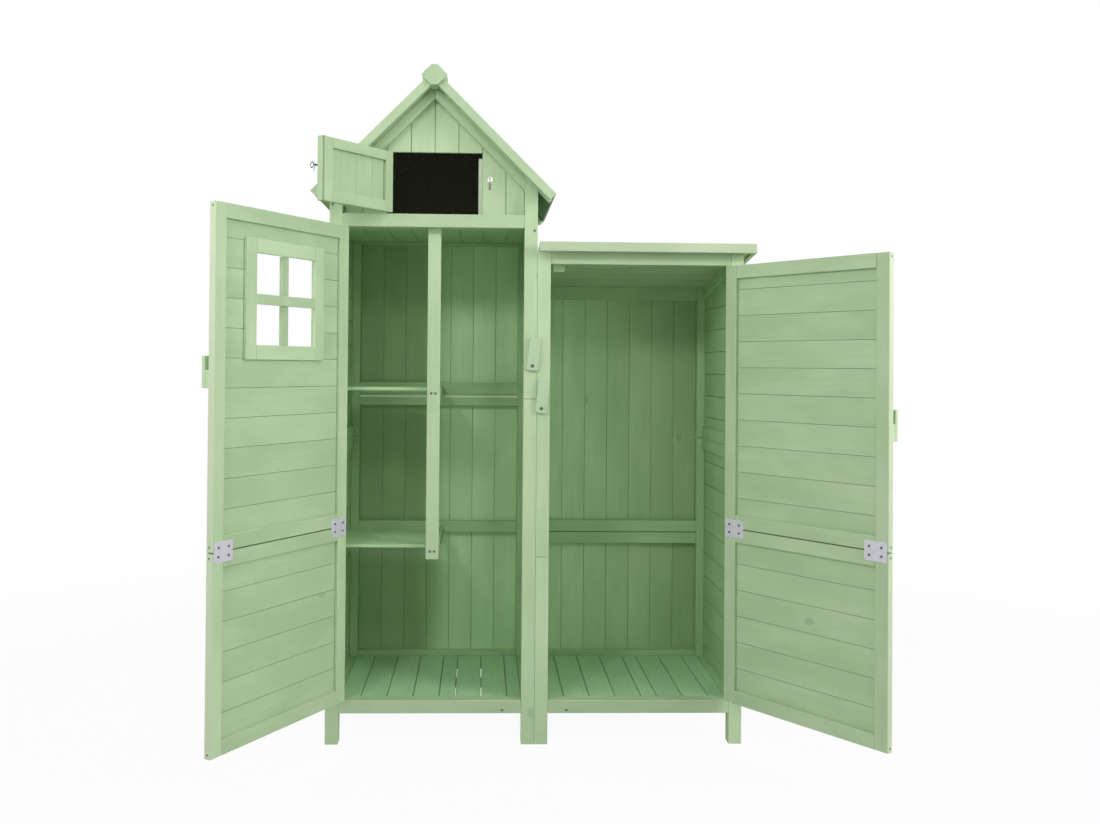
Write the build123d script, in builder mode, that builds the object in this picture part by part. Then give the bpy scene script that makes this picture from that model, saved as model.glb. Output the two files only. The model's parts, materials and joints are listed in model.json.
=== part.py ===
"""Two-bay wooden garden tool shed: a tall gabled bay with a loft beside a lower bay under a pent roof.

Millimetres, +Z up.  X runs left to right along the front, Y runs from front to back.
The origin is on the ground, in the middle of the foot of the tall bay's right front post.
The doors stand open, as the shed is shown.
"""
import os
from math import cos, radians, sin, tan

from build123d import *

os.makedirs("parts", exist_ok=True)

# Carcass
bay_width = 540.0
bay_gap = 0.6
carcass_depth = 450.0
post_size = 34.0
foot_height = 80.0
sill_height = 34.0
tall_opening_top = 1338.0
short_opening_top = 1246.0
lintel_height = 34.0

# Heights where the stacked wall panels meet
side_panel_seam = 768.0
tall_panel_seam = 894.0
short_panel_seam = 484.0

# Timber
board_thickness = 10.0
board_gap = 0.5
board_easing = 1.2
wall_cover = 68.0
upright_cover = 64.0
rail_height = 34.0
rail_thickness = 22.0
side_rail_thickness = 9.0
rebate_width = 12.0
fit_gap = 0.3
seam_gap = 1.2

# Floors, divider and shelves
floor_cover = 68.0
first_floor_board = 56.0
narrow_floor_board = 42.0
narrow_floor_index = 4
least_floor_board = 14.0
floor_gap = 1.6
bearer_depth = 20.0
loft_floor_drop = 17.0
loft_cover = 64.0
back_rail_rise = 14.0
mid_rail_height = 498.0
divider_width = 34.0
divider_depth = 20.0
divider_shift = 0.6
divider_below = 36.5
upper_shelf_top = 921.0
lower_shelf_top = 507.0
shelf_thickness = 9.5
shelf_depth = 236.0
shelf_cover = 79.0
shelf_bearer_height = 20.0
shelf_bearer_width = 20.0

# Gable roof
roof_pitch = 45.0
knee_height = 76.0
ridge_bar_size = 48.0
ridge_bar_flat = 10.5
ridge_bar_easing = 2.1
ridge_bar_lift = 4.0
ridge_bar_front = 12.0
ridge_bar_back = 4.0
roof_rise = 14.0
roof_board = 10.0
roof_batten = 12.0
barge_width = 20.0
eave_reach = 315.0
front_overhang = 38.0
back_overhang = 10.0
rake_width = 23.0

# Gable front and loft opening
gable_recess = 24.0
gable_cover = 62.25
loft_opening_boards = 4
loft_opening_height = 165.0
stop_lip = 10.0
stop_width = 24.0
stop_depth = 12.0
stop_short = 11.0

# Pent roof
pent_slope = 8.2
pent_side_overhang = 25.0
pent_left_clear = 3.0
pent_board = 12.0
fascia_height = 25.0
fascia_rise = 3.0
fascia_thickness = 10.0
pent_edge_drop = 9.5
cleat_width = 31.0
cleat_offset = 42.0
cleat_depth = 26.0
cleat_drop = 17.0

# Doors
door_thickness = 18.0
door_gap = 2.0
door_foot_gap = 4.0
door_head_gap = 3.0
door_seam = 566.0
stile_width = 34.0
door_board = 9.0
door_cover = 67.0
door_lap = 10.0
tall_first_board = 51.4
short_first_board = 38.7
tall_door_angle = 120.6
short_door_angle = 127.0
loft_door_angle = 129.0
loft_door_thickness = 18.0
loft_stile = 25.0
loft_free_stile = 35.0
loft_foot_rail = 28.0
loft_board = 8.0
loft_head_gap = 4.0

# Window in the tall door
window_drop = 207.0
window_hole_width = 205.0
window_hole_height = 211.0
window_trim_width = 34.0
window_trim_lap = 14.0
window_outer_width = 28.0
window_outer_trim = 7.0
window_bar_width = 24.0
window_bar_depth = 8.8
window_cross_depth = 5.8

# Joining plates over the door seams
plate_width = 57.0
plate_height = 46.0
plate_thickness = 1.5
plate_inset = 4.0
plate_screw_inset = 13.0

# Turn buttons and keepers
button_length = 85.0
button_width = 29.0
button_thickness = 9.5
button_corner = 5.0
button_tail = 12.0
button_stand = 0.5
tall_button_height = 980.0
tall_button_lean = 6.5
button_drop = 110.0
short_button_lean = 5.0
button_offset = 12.0
keeper_width = 30.0
keeper_inset = 2.0
keeper_spacer_height = 40.0
keeper_slot_height = 31.0
keeper_slot_depth = 12.0
keeper_bar = 10.0
keeper_clear = 0.5

# Hinges
hinge_stand = 3.6
knuckle_radius = 3.5
pin_radius = 1.8
pin_clearance = 0.05
pin_head_radius = 2.7
pin_head_height = 1.2
leaf_thickness = 1.6
leaf_width = 26.0
leaf_height = 60.0
knuckle_gap = 0.4
loft_leaf_width = 15.0
loft_leaf_height = 36.0
hinge_end_distance = 150.0
loft_hinge_end_distance = 34.0

# Hasp on the loft door
hasp_rise = 96.0
hasp_leaf_width = 16.0
hasp_leaf_height = 24.0
hasp_thickness = 1.2
hasp_knuckle_radius = 1.7
hasp_pin_radius = 0.8
hasp_edge_inset = 8.0
strap_length = 42.0
strap_width = 16.0
strap_slot_length = 9.0
strap_slot_width = 5.0
strap_angle = 100.0
staple_plate_width = 13.0
staple_plate_height = 39.0
staple_rise = 9.0
staple_wire = 2.4
staple_edge = 19.5

# Screws
screw_head_radius = 3.4
screw_head_height = 1.2
pivot_shank_radius = 2.2
pivot_depth = 22.0
hinge_screw_radius = 2.4
hinge_screw_height = 0.6
plate_screw_radius = 3.2
sill_screw_offset = 83.0
post_screw_inset = 8.0
post_screw_rise = 22.0
post_screw_drop = 6.0
divider_screw_spread = 5.6
divider_screw_rise = 4.0

# Derived places
front = -post_size / 2
back = front + carcass_depth
tall_right = post_size / 2
tall_left = tall_right - bay_width
bay_seam = tall_right + bay_gap / 2
short_left = tall_right + bay_gap
short_right = short_left + bay_width
tall_middle = (tall_left + tall_right) / 2
floor_top = foot_height + sill_height
floor_under = floor_top - board_thickness
tall_lintel_top = tall_opening_top + lintel_height
short_lintel_top = short_opening_top + lintel_height
behind_front = front + post_size
before_back = back - post_size
rail_face = back - board_thickness - rail_thickness
loft_floor_top = tall_lintel_top - loft_floor_drop
loft_floor_under = loft_floor_top - board_thickness
pitch = radians(roof_pitch)
ridge_height = tall_lintel_top + knee_height + bay_width / 2 * tan(pitch)
loft_opening_top = tall_lintel_top + loft_opening_height
hasp_height = tall_lintel_top + hasp_rise
cleat_bottom = short_opening_top - cleat_drop
short_button_height = tall_button_height - button_drop
divider_bottom = lower_shelf_top - divider_below
slope = radians(pent_slope)
roof_under = roof_rise - roof_board - roof_batten
gable_face = front + gable_recess
loft_half = gable_cover * loft_opening_boards / 2
far_reach = bay_width + carcass_depth


def gable_under(offset):
    """Height of the gable roof's underside at a distance from the ridge line."""
    return ridge_height + roof_under / cos(pitch) - abs(offset) * tan(pitch)


def pent_under(y):
    """Height of the pent roof boards' underside at a place from front to back."""
    return short_lintel_top - (y - front) * tan(slope)


def block(x0, x1, y0, y1, z0, z1, mode=Mode.ADD):
    """Square-cut length of timber between two corners, in the open part."""
    with Locations(((x0 + x1) / 2, (y0 + y1) / 2, (z0 + z1) / 2)):
        Box(abs(x1 - x0), abs(y1 - y0), abs(z1 - z0), mode=mode)


def courses(low, high, cover):
    """Spans of equal boards that fill a width, each a little clear of the next."""
    count = max(1, round((high - low) / cover))
    step = (high - low) / count
    return [(low + i * step + board_gap / 2, low + (i + 1) * step - board_gap / 2) for i in range(count)]


def panel_courses(low, seam, high, cover):
    """Courses of two stacked panels."""
    return courses(low, seam, cover) + courses(seam, high, cover)


def seam_rails(seam):
    """Spans of the two rails that meet at a panel seam."""
    return [(seam - rail_height, seam - fit_gap / 2), (seam + fit_gap / 2, seam + rail_height)]


def post_lengths(x0, y0, seam, top):
    """Corner post in two lengths that meet at a panel seam."""
    block(x0, x0 + post_size, y0, y0 + post_size, 0, seam - seam_gap / 2)
    block(x0, x0 + post_size, y0, y0 + post_size, seam + seam_gap / 2, top)


def side_rebate(x0, y0, y1, top):
    """Rebate down a post that takes the ends of the side boards."""
    block(x0, x0 + board_thickness + fit_gap, y0, y1, foot_height - fit_gap, top, mode=Mode.SUBTRACT)


def screw_head(point, direction, radius=screw_head_radius, height=screw_head_height):
    """Low domed screw head seated on a face."""
    with Locations(Plane(origin=point, z_dir=direction)):
        Cone(radius, radius * 0.7, height, align=(Align.CENTER, Align.CENTER, Align.MIN))


def finish(builder, name):
    """Label a finished piece and write it."""
    builder.part.label = name
    export_step(builder.part, f"parts/{name}.step")


# Space above the gable roof's underside
with BuildSketch(Plane.XZ) as above_gable:
    Polygon(
        (tall_middle - far_reach, gable_under(far_reach) - fit_gap),
        (tall_middle, gable_under(0) - fit_gap),
        (tall_middle + far_reach, gable_under(far_reach) - fit_gap),
        (tall_middle + far_reach, gable_under(0) + far_reach),
        (tall_middle - far_reach, gable_under(0) + far_reach),
        align=None,
    )

# Space above the pent roof's underside
with BuildSketch(Plane.YZ) as above_pent:
    Polygon(
        (-far_reach, pent_under(-far_reach) - fit_gap),
        (far_reach, pent_under(far_reach) - fit_gap),
        (far_reach, short_lintel_top + far_reach),
        (-far_reach, short_lintel_top + far_reach),
        align=None,
    )

# Outline of the ridge bar, standing on its corner, and the space that the gable ends leave for it
ridge_half = ridge_bar_size / 2
ridge_lean = ridge_half * (sin(pitch) + cos(pitch))
ridge_level = ridge_half * (cos(pitch) - sin(pitch))


def ridge_corners(clear):
    """Corners of the ridge bar's square outline, grown by a clearance."""
    return [
        (0, ridge_half / cos(pitch) + clear / cos(pitch)),
        (ridge_lean + clear / sin(pitch), ridge_level),
        (0, -ridge_half / sin(pitch) - clear / sin(pitch)),
        (-ridge_lean - clear / sin(pitch), ridge_level),
    ]


with BuildSketch(Plane.XZ) as ridge_outline:
    with Locations((tall_middle, ridge_height + ridge_bar_lift)):
        Polygon(*ridge_corners(0), align=None)
    chamfer(vertices().sort_by(Axis.Y)[1:3], ridge_bar_easing)
    chamfer(vertices().group_by(Axis.Y)[-1] + vertices().group_by(Axis.Y)[0], ridge_bar_flat)

with BuildSketch(Plane.XZ) as ridge_space:
    with Locations((tall_middle, ridge_height + ridge_bar_lift)):
        Polygon(*ridge_corners(fit_gap), align=None)
    chamfer(vertices().sort_by(Axis.Y)[1:3], ridge_bar_easing)
    chamfer(vertices().group_by(Axis.Y)[-1] + vertices().group_by(Axis.Y)[0], ridge_bar_flat)

tall_post_top = gable_under(bay_width / 2 - post_size)
short_post_top = short_lintel_top
front_rebate = (behind_front - rebate_width, behind_front)
back_rebate = (before_back, before_back + rebate_width)
wall_near = front_rebate[0] + fit_gap
wall_far = back_rebate[1] - fit_gap

# Corner posts of the tall bay
with BuildPart() as tall_front_left_post:
    post_lengths(tall_left, front, side_panel_seam, tall_post_top)
    side_rebate(tall_left, *front_rebate, tall_post_top)
    extrude(above_gable.sketch, amount=far_reach, both=True, mode=Mode.SUBTRACT)
finish(tall_front_left_post, "tall_front_left_post")

tall_button_x = bay_seam - button_offset
short_button_x = bay_seam + button_offset
pivot_hole_radius = pivot_shank_radius + pin_clearance

with BuildPart() as tall_front_right_post:
    post_lengths(tall_right - post_size, front, tall_panel_seam, tall_post_top)
    side_rebate(tall_right - board_thickness - fit_gap, *front_rebate, tall_post_top)
    extrude(above_gable.sketch, amount=far_reach, both=True, mode=Mode.SUBTRACT)
    with Locations(Plane(origin=(tall_button_x, front, tall_button_height), z_dir=(0, -1, 0))):
        Hole(pivot_hole_radius, depth=pivot_depth + fit_gap)
finish(tall_front_right_post, "tall_front_right_post")

with BuildPart() as tall_back_posts:
    post_lengths(tall_left, before_back, side_panel_seam, tall_post_top)
    post_lengths(tall_right - post_size, before_back, tall_panel_seam, tall_post_top)
    side_rebate(tall_left, *back_rebate, tall_post_top)
    side_rebate(tall_right - board_thickness - fit_gap, *back_rebate, tall_post_top)
    extrude(above_gable.sketch, amount=far_reach, both=True, mode=Mode.SUBTRACT)
finish(tall_back_posts, "tall_back_posts")

# Corner posts of the short bay
with BuildPart() as short_front_left_post:
    post_lengths(short_left, front, short_panel_seam, short_post_top)
    extrude(above_pent.sketch, amount=far_reach, both=True, mode=Mode.SUBTRACT)
    with Locations(Plane(origin=(short_button_x, front, short_button_height), z_dir=(0, -1, 0))):
        Hole(pivot_hole_radius, depth=pivot_depth + fit_gap)
finish(short_front_left_post, "short_front_left_post")

with BuildPart() as short_front_right_post:
    post_lengths(short_right - post_size, front, side_panel_seam, short_post_top)
    side_rebate(short_right - board_thickness - fit_gap, *front_rebate, short_post_top)
    extrude(above_pent.sketch, amount=far_reach, both=True, mode=Mode.SUBTRACT)
finish(short_front_right_post, "short_front_right_post")

with BuildPart() as short_back_posts:
    post_lengths(short_left, before_back, short_panel_seam, short_post_top)
    post_lengths(short_right - post_size, before_back, side_panel_seam, short_post_top)
    side_rebate(short_right - board_thickness - fit_gap, *back_rebate, short_post_top)
    extrude(above_pent.sketch, amount=far_reach, both=True, mode=Mode.SUBTRACT)
finish(short_back_posts, "short_back_posts")

# Side boards, lying level between the posts
tall_side_top = gable_under(bay_width / 2 - board_thickness)
with BuildPart() as tall_left_boards:
    for low, high in panel_courses(foot_height, side_panel_seam, tall_side_top, wall_cover):
        block(tall_left, tall_left + board_thickness, wall_near, wall_far, low, high)
    chamfer(edges().filter_by(Axis.Y), board_easing)
    extrude(above_gable.sketch, amount=far_reach, both=True, mode=Mode.SUBTRACT)
finish(tall_left_boards, "tall_left_boards")

with BuildPart() as partition_boards:
    for low, high in panel_courses(foot_height, tall_panel_seam, tall_side_top, wall_cover):
        block(tall_right - board_thickness, tall_right, wall_near, wall_far, low, high)
    chamfer(edges().filter_by(Axis.Y), board_easing)
    extrude(above_gable.sketch, amount=far_reach, both=True, mode=Mode.SUBTRACT)
finish(partition_boards, "partition_boards")

with BuildPart() as short_right_boards:
    for low, high in panel_courses(foot_height, side_panel_seam, short_lintel_top, wall_cover):
        block(short_right - board_thickness, short_right, wall_near, wall_far, low, high)
    chamfer(edges().filter_by(Axis.Y), board_easing)
    extrude(above_pent.sketch, amount=far_reach, both=True, mode=Mode.SUBTRACT)
finish(short_right_boards, "short_right_boards")

# Back boards, standing behind the back rails
with BuildPart() as tall_back_boards:
    for left, right in courses(tall_left + post_size, tall_right - post_size, upright_cover):
        block(left, right, back - board_thickness, back, foot_height, tall_panel_seam - fit_gap)
        block(left, right, back - board_thickness, back, tall_panel_seam + fit_gap, tall_lintel_top - fit_gap)
    chamfer(edges().filter_by(Axis.Z), board_easing)
finish(tall_back_boards, "tall_back_boards")

with BuildPart() as short_back_boards:
    for left, right in courses(short_left + post_size, short_right - post_size, upright_cover):
        block(left, right, back - board_thickness, back, foot_height, short_panel_seam - fit_gap)
        block(left, right, back - board_thickness, back, short_panel_seam + fit_gap, pent_under(back) - fit_gap)
    chamfer(edges().filter_by(Axis.Z), board_easing)
finish(short_back_boards, "short_back_boards")

# Rails inside the side walls: deep ones at the floor and the eaves, thin ones between
rail_near = behind_front + fit_gap
rail_far = before_back - fit_gap


def side_rail(wall, way, thickness, low, high):
    """Rail on the inner face of a side wall; way is the sign of X from the wall into the bay."""
    x0, x1 = sorted((wall, wall + way * thickness))
    block(x0, x1, rail_near, rail_far, low, high)


tall_rail_walls = [
    (tall_left + board_thickness, 1, side_panel_seam),
    (tall_right - board_thickness, -1, tall_panel_seam),
]
with BuildPart() as tall_side_rails:
    for wall, way, seam in tall_rail_walls:
        plate_low = gable_under(bay_width / 2) - rail_height
        for low, high in [(foot_height, floor_top), (plate_low, tall_post_top)]:
            side_rail(wall, way, rail_thickness, low, high)
        for low, high in seam_rails(seam):
            side_rail(wall, way, side_rail_thickness, low, high)
    extrude(above_gable.sketch, amount=far_reach, both=True, mode=Mode.SUBTRACT)
finish(tall_side_rails, "tall_side_rails")

short_rail_walls = [
    (short_left, 1, short_panel_seam),
    (short_right - board_thickness, -1, side_panel_seam),
]
with BuildSketch(Plane.YZ) as pent_rail:
    Polygon(
        (rail_near, pent_under(rail_near) - rail_height),
        (rail_far, pent_under(rail_far) - rail_height),
        (rail_far, pent_under(rail_far) - fit_gap),
        (rail_near, pent_under(rail_near) - fit_gap),
        align=None,
    )
with BuildPart() as short_side_rails:
    for wall, way, seam in short_rail_walls:
        side_rail(wall, way, rail_thickness, foot_height, floor_top)
        for low, high in seam_rails(seam):
            side_rail(wall, way, side_rail_thickness, low, high)
        extrude(pent_rail.sketch.moved(Location((wall, 0, 0))), amount=way * side_rail_thickness)
finish(short_side_rails, "short_side_rails")

# Rails inside the back walls
back_rail_low = floor_top + back_rail_rise - rail_height
with BuildPart() as tall_back_rails:
    spans = [
        (back_rail_low, back_rail_low + rail_height),
        (mid_rail_height - rail_height / 2, mid_rail_height + rail_height / 2),
        *seam_rails(tall_panel_seam),
        (tall_opening_top, tall_lintel_top - fit_gap),
    ]
    for low, high in spans:
        block(
            tall_left + post_size + fit_gap, tall_right - post_size - fit_gap,
            rail_face, back - board_thickness - fit_gap, low, high,
        )
finish(tall_back_rails, "tall_back_rails")

with BuildPart() as short_back_rails:
    spans = [
        (back_rail_low, back_rail_low + rail_height),
        *seam_rails(short_panel_seam),
        (pent_under(back) - rail_height, pent_under(rail_face)),
    ]
    for low, high in spans:
        block(
            short_left + post_size + fit_gap, short_right - post_size - fit_gap,
            rail_face, back - board_thickness - fit_gap, low, high,
        )
    extrude(above_pent.sketch, amount=far_reach, both=True, mode=Mode.SUBTRACT)
finish(short_back_rails, "short_back_rails")

# Sills and lintels across the fronts, with a roof block behind the short lintel
with BuildPart() as tall_front_rails:
    for low, high in [(foot_height, floor_top), (tall_opening_top, tall_lintel_top)]:
        block(tall_left + post_size + fit_gap, tall_right - post_size - fit_gap, front, behind_front, low, high)
finish(tall_front_rails, "tall_front_rails")

with BuildPart() as short_front_rails:
    for low, high in [(foot_height, floor_top), (short_opening_top, short_lintel_top)]:
        block(short_left + post_size + fit_gap, short_right - post_size - fit_gap, front, behind_front, low, high)
    block(
        short_left + cleat_offset, short_left + cleat_offset + cleat_width,
        behind_front + fit_gap, behind_front + cleat_depth, cleat_bottom, short_lintel_top,
    )
    extrude(above_pent.sketch, amount=far_reach, both=True, mode=Mode.SUBTRACT)
finish(short_front_rails, "short_front_rails")

# Floor boards, running front to back with open gaps
floor_near = behind_front + fit_gap
floor_far = before_back - fit_gap
bearer_far = rail_face - fit_gap


def floor_spans(left, right):
    """Board edges across a floor: a trimmed first board, one narrow board and a trimmed last board."""
    spans = []
    edge = left
    while edge < right - least_floor_board:
        width = floor_cover
        if len(spans) == 0:
            width = first_floor_board
        elif len(spans) == narrow_floor_index:
            width = narrow_floor_board
        end = edge + width
        if end > right - least_floor_board:
            end = right
        spans.append((edge + floor_gap / 2, end - floor_gap / 2))
        edge = end
    return spans


tall_floor_edges = (
    tall_left + board_thickness + rail_thickness,
    tall_right - board_thickness - rail_thickness,
)
short_floor_edges = (short_left + rail_thickness, short_right - board_thickness - rail_thickness)
with BuildPart() as tall_floor_boards:
    for left, right in floor_spans(*tall_floor_edges):
        block(left, right, floor_near, floor_far, floor_under, floor_top)
    chamfer(edges().filter_by(Axis.Y), board_easing)
finish(tall_floor_boards, "tall_floor_boards")

with BuildPart() as short_floor_boards:
    for left, right in floor_spans(*short_floor_edges):
        block(left, right, floor_near, floor_far, floor_under, floor_top)
    chamfer(edges().filter_by(Axis.Y), board_easing)
finish(short_floor_boards, "short_floor_boards")

# Bearers under the floors and ledgers under the loft floor
divider_left = tall_middle + divider_shift - divider_width / 2
divider_right = divider_left + divider_width
loft_ledger_low = tall_opening_top + fit_gap
bearer_rows = [
    floor_near,
    (floor_near + floor_far - bearer_depth) / 2,
    floor_far - bearer_depth,
]
with BuildPart() as floor_bearers:
    for left, right in [tall_floor_edges, short_floor_edges]:
        for near in bearer_rows:
            block(left + fit_gap, right - fit_gap, near, near + bearer_depth, foot_height, floor_under - fit_gap)
    ledger_left = tall_left + post_size + fit_gap
    ledger_right = tall_right - post_size - fit_gap
    ledger_high = loft_floor_under - fit_gap
    for left, right in [(ledger_left, divider_left - fit_gap), (divider_right + fit_gap, ledger_right)]:
        block(left, right, floor_near, floor_near + bearer_depth, loft_ledger_low, ledger_high)
    block(ledger_left, ledger_right, bearer_far - bearer_depth, bearer_far, loft_ledger_low, ledger_high)
finish(floor_bearers, "floor_bearers")

with BuildPart() as loft_floor_boards:
    loft_left = tall_left + board_thickness + fit_gap
    loft_right = tall_right - board_thickness - fit_gap
    for left, right in courses(loft_left, loft_right, loft_cover):
        block(left + board_gap, right - board_gap, floor_near, floor_far, loft_floor_under, loft_floor_top)
    chamfer(edges().filter_by(Axis.Y), board_easing)
finish(loft_floor_boards, "loft_floor_boards")

# Hanging divider with the shelves behind it
divider_face = behind_front + fit_gap
with BuildPart() as divider_post:
    block(
        divider_left, divider_right, divider_face, divider_face + divider_depth,
        divider_bottom, loft_floor_under - fit_gap,
    )
finish(divider_post, "divider_post")

shelf_near = divider_face + divider_depth + fit_gap
shelf_left = tall_left + board_thickness + fit_gap


def shelf_boards(top):
    """Shelf of boards that run from the left wall to the divider."""
    for near, far in courses(shelf_near, shelf_near + shelf_depth, shelf_cover):
        block(shelf_left, divider_right, near, far, top - shelf_thickness, top)
    chamfer(edges().filter_by(Axis.X), board_easing)


with BuildPart() as upper_shelf:
    shelf_boards(upper_shelf_top)
finish(upper_shelf, "upper_shelf")

with BuildPart() as lower_shelf:
    shelf_boards(lower_shelf_top)
finish(lower_shelf, "lower_shelf")

with BuildPart() as shelf_bearers:
    for top in (upper_shelf_top, lower_shelf_top):
        high = top - shelf_thickness - fit_gap
        low = high - shelf_bearer_height
        block(shelf_left, shelf_left + shelf_bearer_width, shelf_near, shelf_near + shelf_depth, low, high)
        block(divider_right - shelf_bearer_width, divider_right, shelf_near, bearer_far, low, high)
finish(shelf_bearers, "shelf_bearers")

# Gable ends: standing boards under raking trims, with the loft opening in front
gable_edges = [tall_left + post_size]
first_line = tall_middle - gable_cover * int((bay_width / 2 - post_size) / gable_cover)
line = first_line
while line < tall_right - post_size:
    gable_edges.append(line)
    line += gable_cover
gable_edges.append(tall_right - post_size)

with BuildPart() as gable_front_boards:
    for left, right in zip(gable_edges, gable_edges[1:]):
        over_opening = abs((left + right) / 2 - tall_middle) < loft_half
        low = loft_opening_top if over_opening else tall_lintel_top + fit_gap
        block(
            left + board_gap / 2, right - board_gap / 2, gable_face, gable_face + board_thickness,
            low, gable_under(0),
        )
    chamfer(edges().filter_by(Axis.Z), board_easing)
    extrude(above_gable.sketch, amount=far_reach, both=True, mode=Mode.SUBTRACT)
    extrude(ridge_space.sketch, amount=far_reach, both=True, mode=Mode.SUBTRACT)
finish(gable_front_boards, "gable_front_boards")

with BuildPart() as gable_back_boards:
    for left, right in courses(tall_left + post_size, tall_right - post_size, upright_cover):
        block(left, right, back - board_thickness, back, tall_lintel_top + fit_gap, gable_under(0))
    chamfer(edges().filter_by(Axis.Z), board_easing)
    extrude(above_gable.sketch, amount=far_reach, both=True, mode=Mode.SUBTRACT)
    extrude(ridge_space.sketch, amount=far_reach, both=True, mode=Mode.SUBTRACT)
finish(gable_back_boards, "gable_back_boards")

rake_outer = bay_width / 2 - post_size - fit_gap
rake_drop = rake_width / cos(pitch)
with BuildSketch(Plane.XZ) as rake_pair:
    for side in (-1, 1):
        Polygon(
            (tall_middle + side * fit_gap / 2, gable_under(0) - fit_gap),
            (tall_middle + side * rake_outer, gable_under(rake_outer) - fit_gap),
            (tall_middle + side * rake_outer, gable_under(rake_outer) - rake_drop),
            (tall_middle + side * fit_gap / 2, gable_under(0) - rake_drop),
            align=None,
        )
rake_depth = gable_recess - fit_gap
with BuildPart() as gable_rakes:
    extrude(rake_pair.sketch.moved(Location((0, front + rake_depth, 0))), amount=rake_depth)
    extrude(rake_pair.sketch.moved(Location((0, back - board_thickness - fit_gap, 0))), amount=rake_depth)
    extrude(ridge_space.sketch, amount=far_reach, both=True, mode=Mode.SUBTRACT)
finish(gable_rakes, "gable_rakes")

# Stop behind the free edge of the loft door
stop_edge = tall_middle + loft_half
stop_back = gable_face + loft_door_thickness + fit_gap + stop_depth
with BuildPart() as loft_door_stop:
    block(
        stop_edge - stop_lip, stop_edge - stop_lip + stop_width, gable_face + board_thickness + fit_gap, stop_back,
        tall_lintel_top + fit_gap, loft_opening_top - stop_short,
    )
    block(
        stop_edge - stop_lip - 1, stop_edge, gable_face, gable_face + loft_door_thickness + fit_gap,
        tall_opening_top, loft_opening_top, mode=Mode.SUBTRACT,
    )
finish(loft_door_stop, "loft_door_stop")

# Gable roof: boards on battens between barge boards, butted against a ridge bar that stands on its corner
right_slope = Plane(
    origin=(tall_middle, 0, ridge_height),
    x_dir=(cos(pitch), 0, -sin(pitch)),
    z_dir=(sin(pitch), 0, cos(pitch)),
)
slope_start = ridge_bar_size / 2 - ridge_bar_lift * sin(pitch) + fit_gap
slope_end = (eave_reach - roof_rise * sin(pitch)) / cos(pitch)
roof_front = front - front_overhang
roof_back = back + back_overhang
deck_under = roof_rise - roof_board
mirror_plane = Plane.YZ.offset(tall_middle)

with BuildPart(right_slope) as roof_right_boards:
    for low, high in courses(slope_start, slope_end, wall_cover):
        block(low, high, roof_front + barge_width + fit_gap, back, deck_under, roof_rise)
finish(roof_right_boards, "roof_right_boards")

batten_rows = [
    (front, front + rake_depth),
    (back - board_thickness - rake_depth, back - board_thickness),
]
barge_rows = [
    (roof_front, roof_front + barge_width),
    (back + fit_gap, roof_back),
]
with BuildPart(right_slope) as roof_right_battens:
    for near, far in batten_rows:
        block(slope_start, slope_end, near, far, roof_under, deck_under - fit_gap)
    for near, far in barge_rows:
        block(slope_start, slope_end, near, far, roof_under, roof_rise)
finish(roof_right_battens, "roof_right_battens")

with BuildPart() as roof_left_boards:
    mirror(roof_right_boards.part, about=mirror_plane)
finish(roof_left_boards, "roof_left_boards")

with BuildPart() as roof_left_battens:
    mirror(roof_right_battens.part, about=mirror_plane)
finish(roof_left_battens, "roof_left_battens")

ridge_front = roof_front - ridge_bar_front
ridge_length = roof_back + ridge_bar_back - ridge_front
with BuildPart() as ridge_bar:
    extrude(ridge_outline.sketch.moved(Location((0, ridge_front, 0))), amount=-ridge_length)
finish(ridge_bar, "ridge_bar")

# Pent roof: boards from side to side, tilted down to the back
pent_plane = Plane(origin=(short_left, front, short_lintel_top), x_dir=(1, 0, 0), z_dir=(0, sin(slope), cos(slope)))
pent_left = pent_left_clear
pent_right = bay_width + pent_side_overhang
pent_front = -(front_overhang - fascia_thickness)
pent_back = (carcass_depth + back_overhang) / cos(slope)
pent_strip = carcass_depth / cos(slope) + pent_edge_drop * tan(slope) + fit_gap
with BuildPart(pent_plane) as flat_roof_boards:
    for near, far in courses(pent_front, pent_back, wall_cover):
        block(pent_left, pent_right, near, far, 0, pent_board)
    chamfer(edges().filter_by(Axis.X), board_easing)
finish(flat_roof_boards, "flat_roof_boards")

with BuildPart(pent_plane) as flat_roof_edges:
    block(
        pent_left, pent_right, pent_front - fascia_thickness, pent_front - fit_gap,
        pent_board + fascia_rise - fascia_height, pent_board + fascia_rise,
    )
    block(
        pent_right - fascia_thickness, pent_right, pent_front, pent_strip - fit_gap,
        -pent_edge_drop, -fit_gap,
    )
    block(pent_left, pent_right, pent_strip, pent_back, -pent_edge_drop, -fit_gap)
finish(flat_roof_edges, "flat_roof_edges")

# Doors.  A door's own plane lies on its hinge axis, with X along the door and Z up.
# inward is +1 where the plane's Y points to the door's inner face, and -1 where it points outwards.
opening_width = bay_width - 2 * post_size
door_width = opening_width - 2 * door_gap
axis_y = front - hinge_stand
door_low = floor_top + door_foot_gap


def door_plane(x, y, angle, toward):
    """Plane on a hinge axis; toward is the sign of X from the hinge to the free edge when shut."""
    turn = radians(angle)
    return Plane(origin=(x, y, 0), x_dir=(toward * cos(turn), -sin(turn), 0), z_dir=(0, 0, 1))


tall_door_plane = door_plane(tall_left + post_size + door_gap / 2, axis_y, tall_door_angle, 1)
short_door_plane = door_plane(short_right - post_size - door_gap / 2, axis_y, short_door_angle, -1)
loft_axis_y = gable_face - hinge_stand
loft_door_plane = door_plane(tall_middle - loft_half + door_gap / 2, loft_axis_y, loft_door_angle, 1)
leaf_start = door_gap / 2
leaf_end = leaf_start + door_width


def leaf(inward, x0, x1, d0, d1, z0, z1, mode=Mode.ADD):
    """Length of timber or metal on a door, with depths counted from the door's outer face."""
    y0 = inward * (hinge_stand + d0)
    y1 = inward * (hinge_stand + d1)
    block(x0, x1, min(y0, y1), max(y0, y1), z0, z1, mode)


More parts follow.
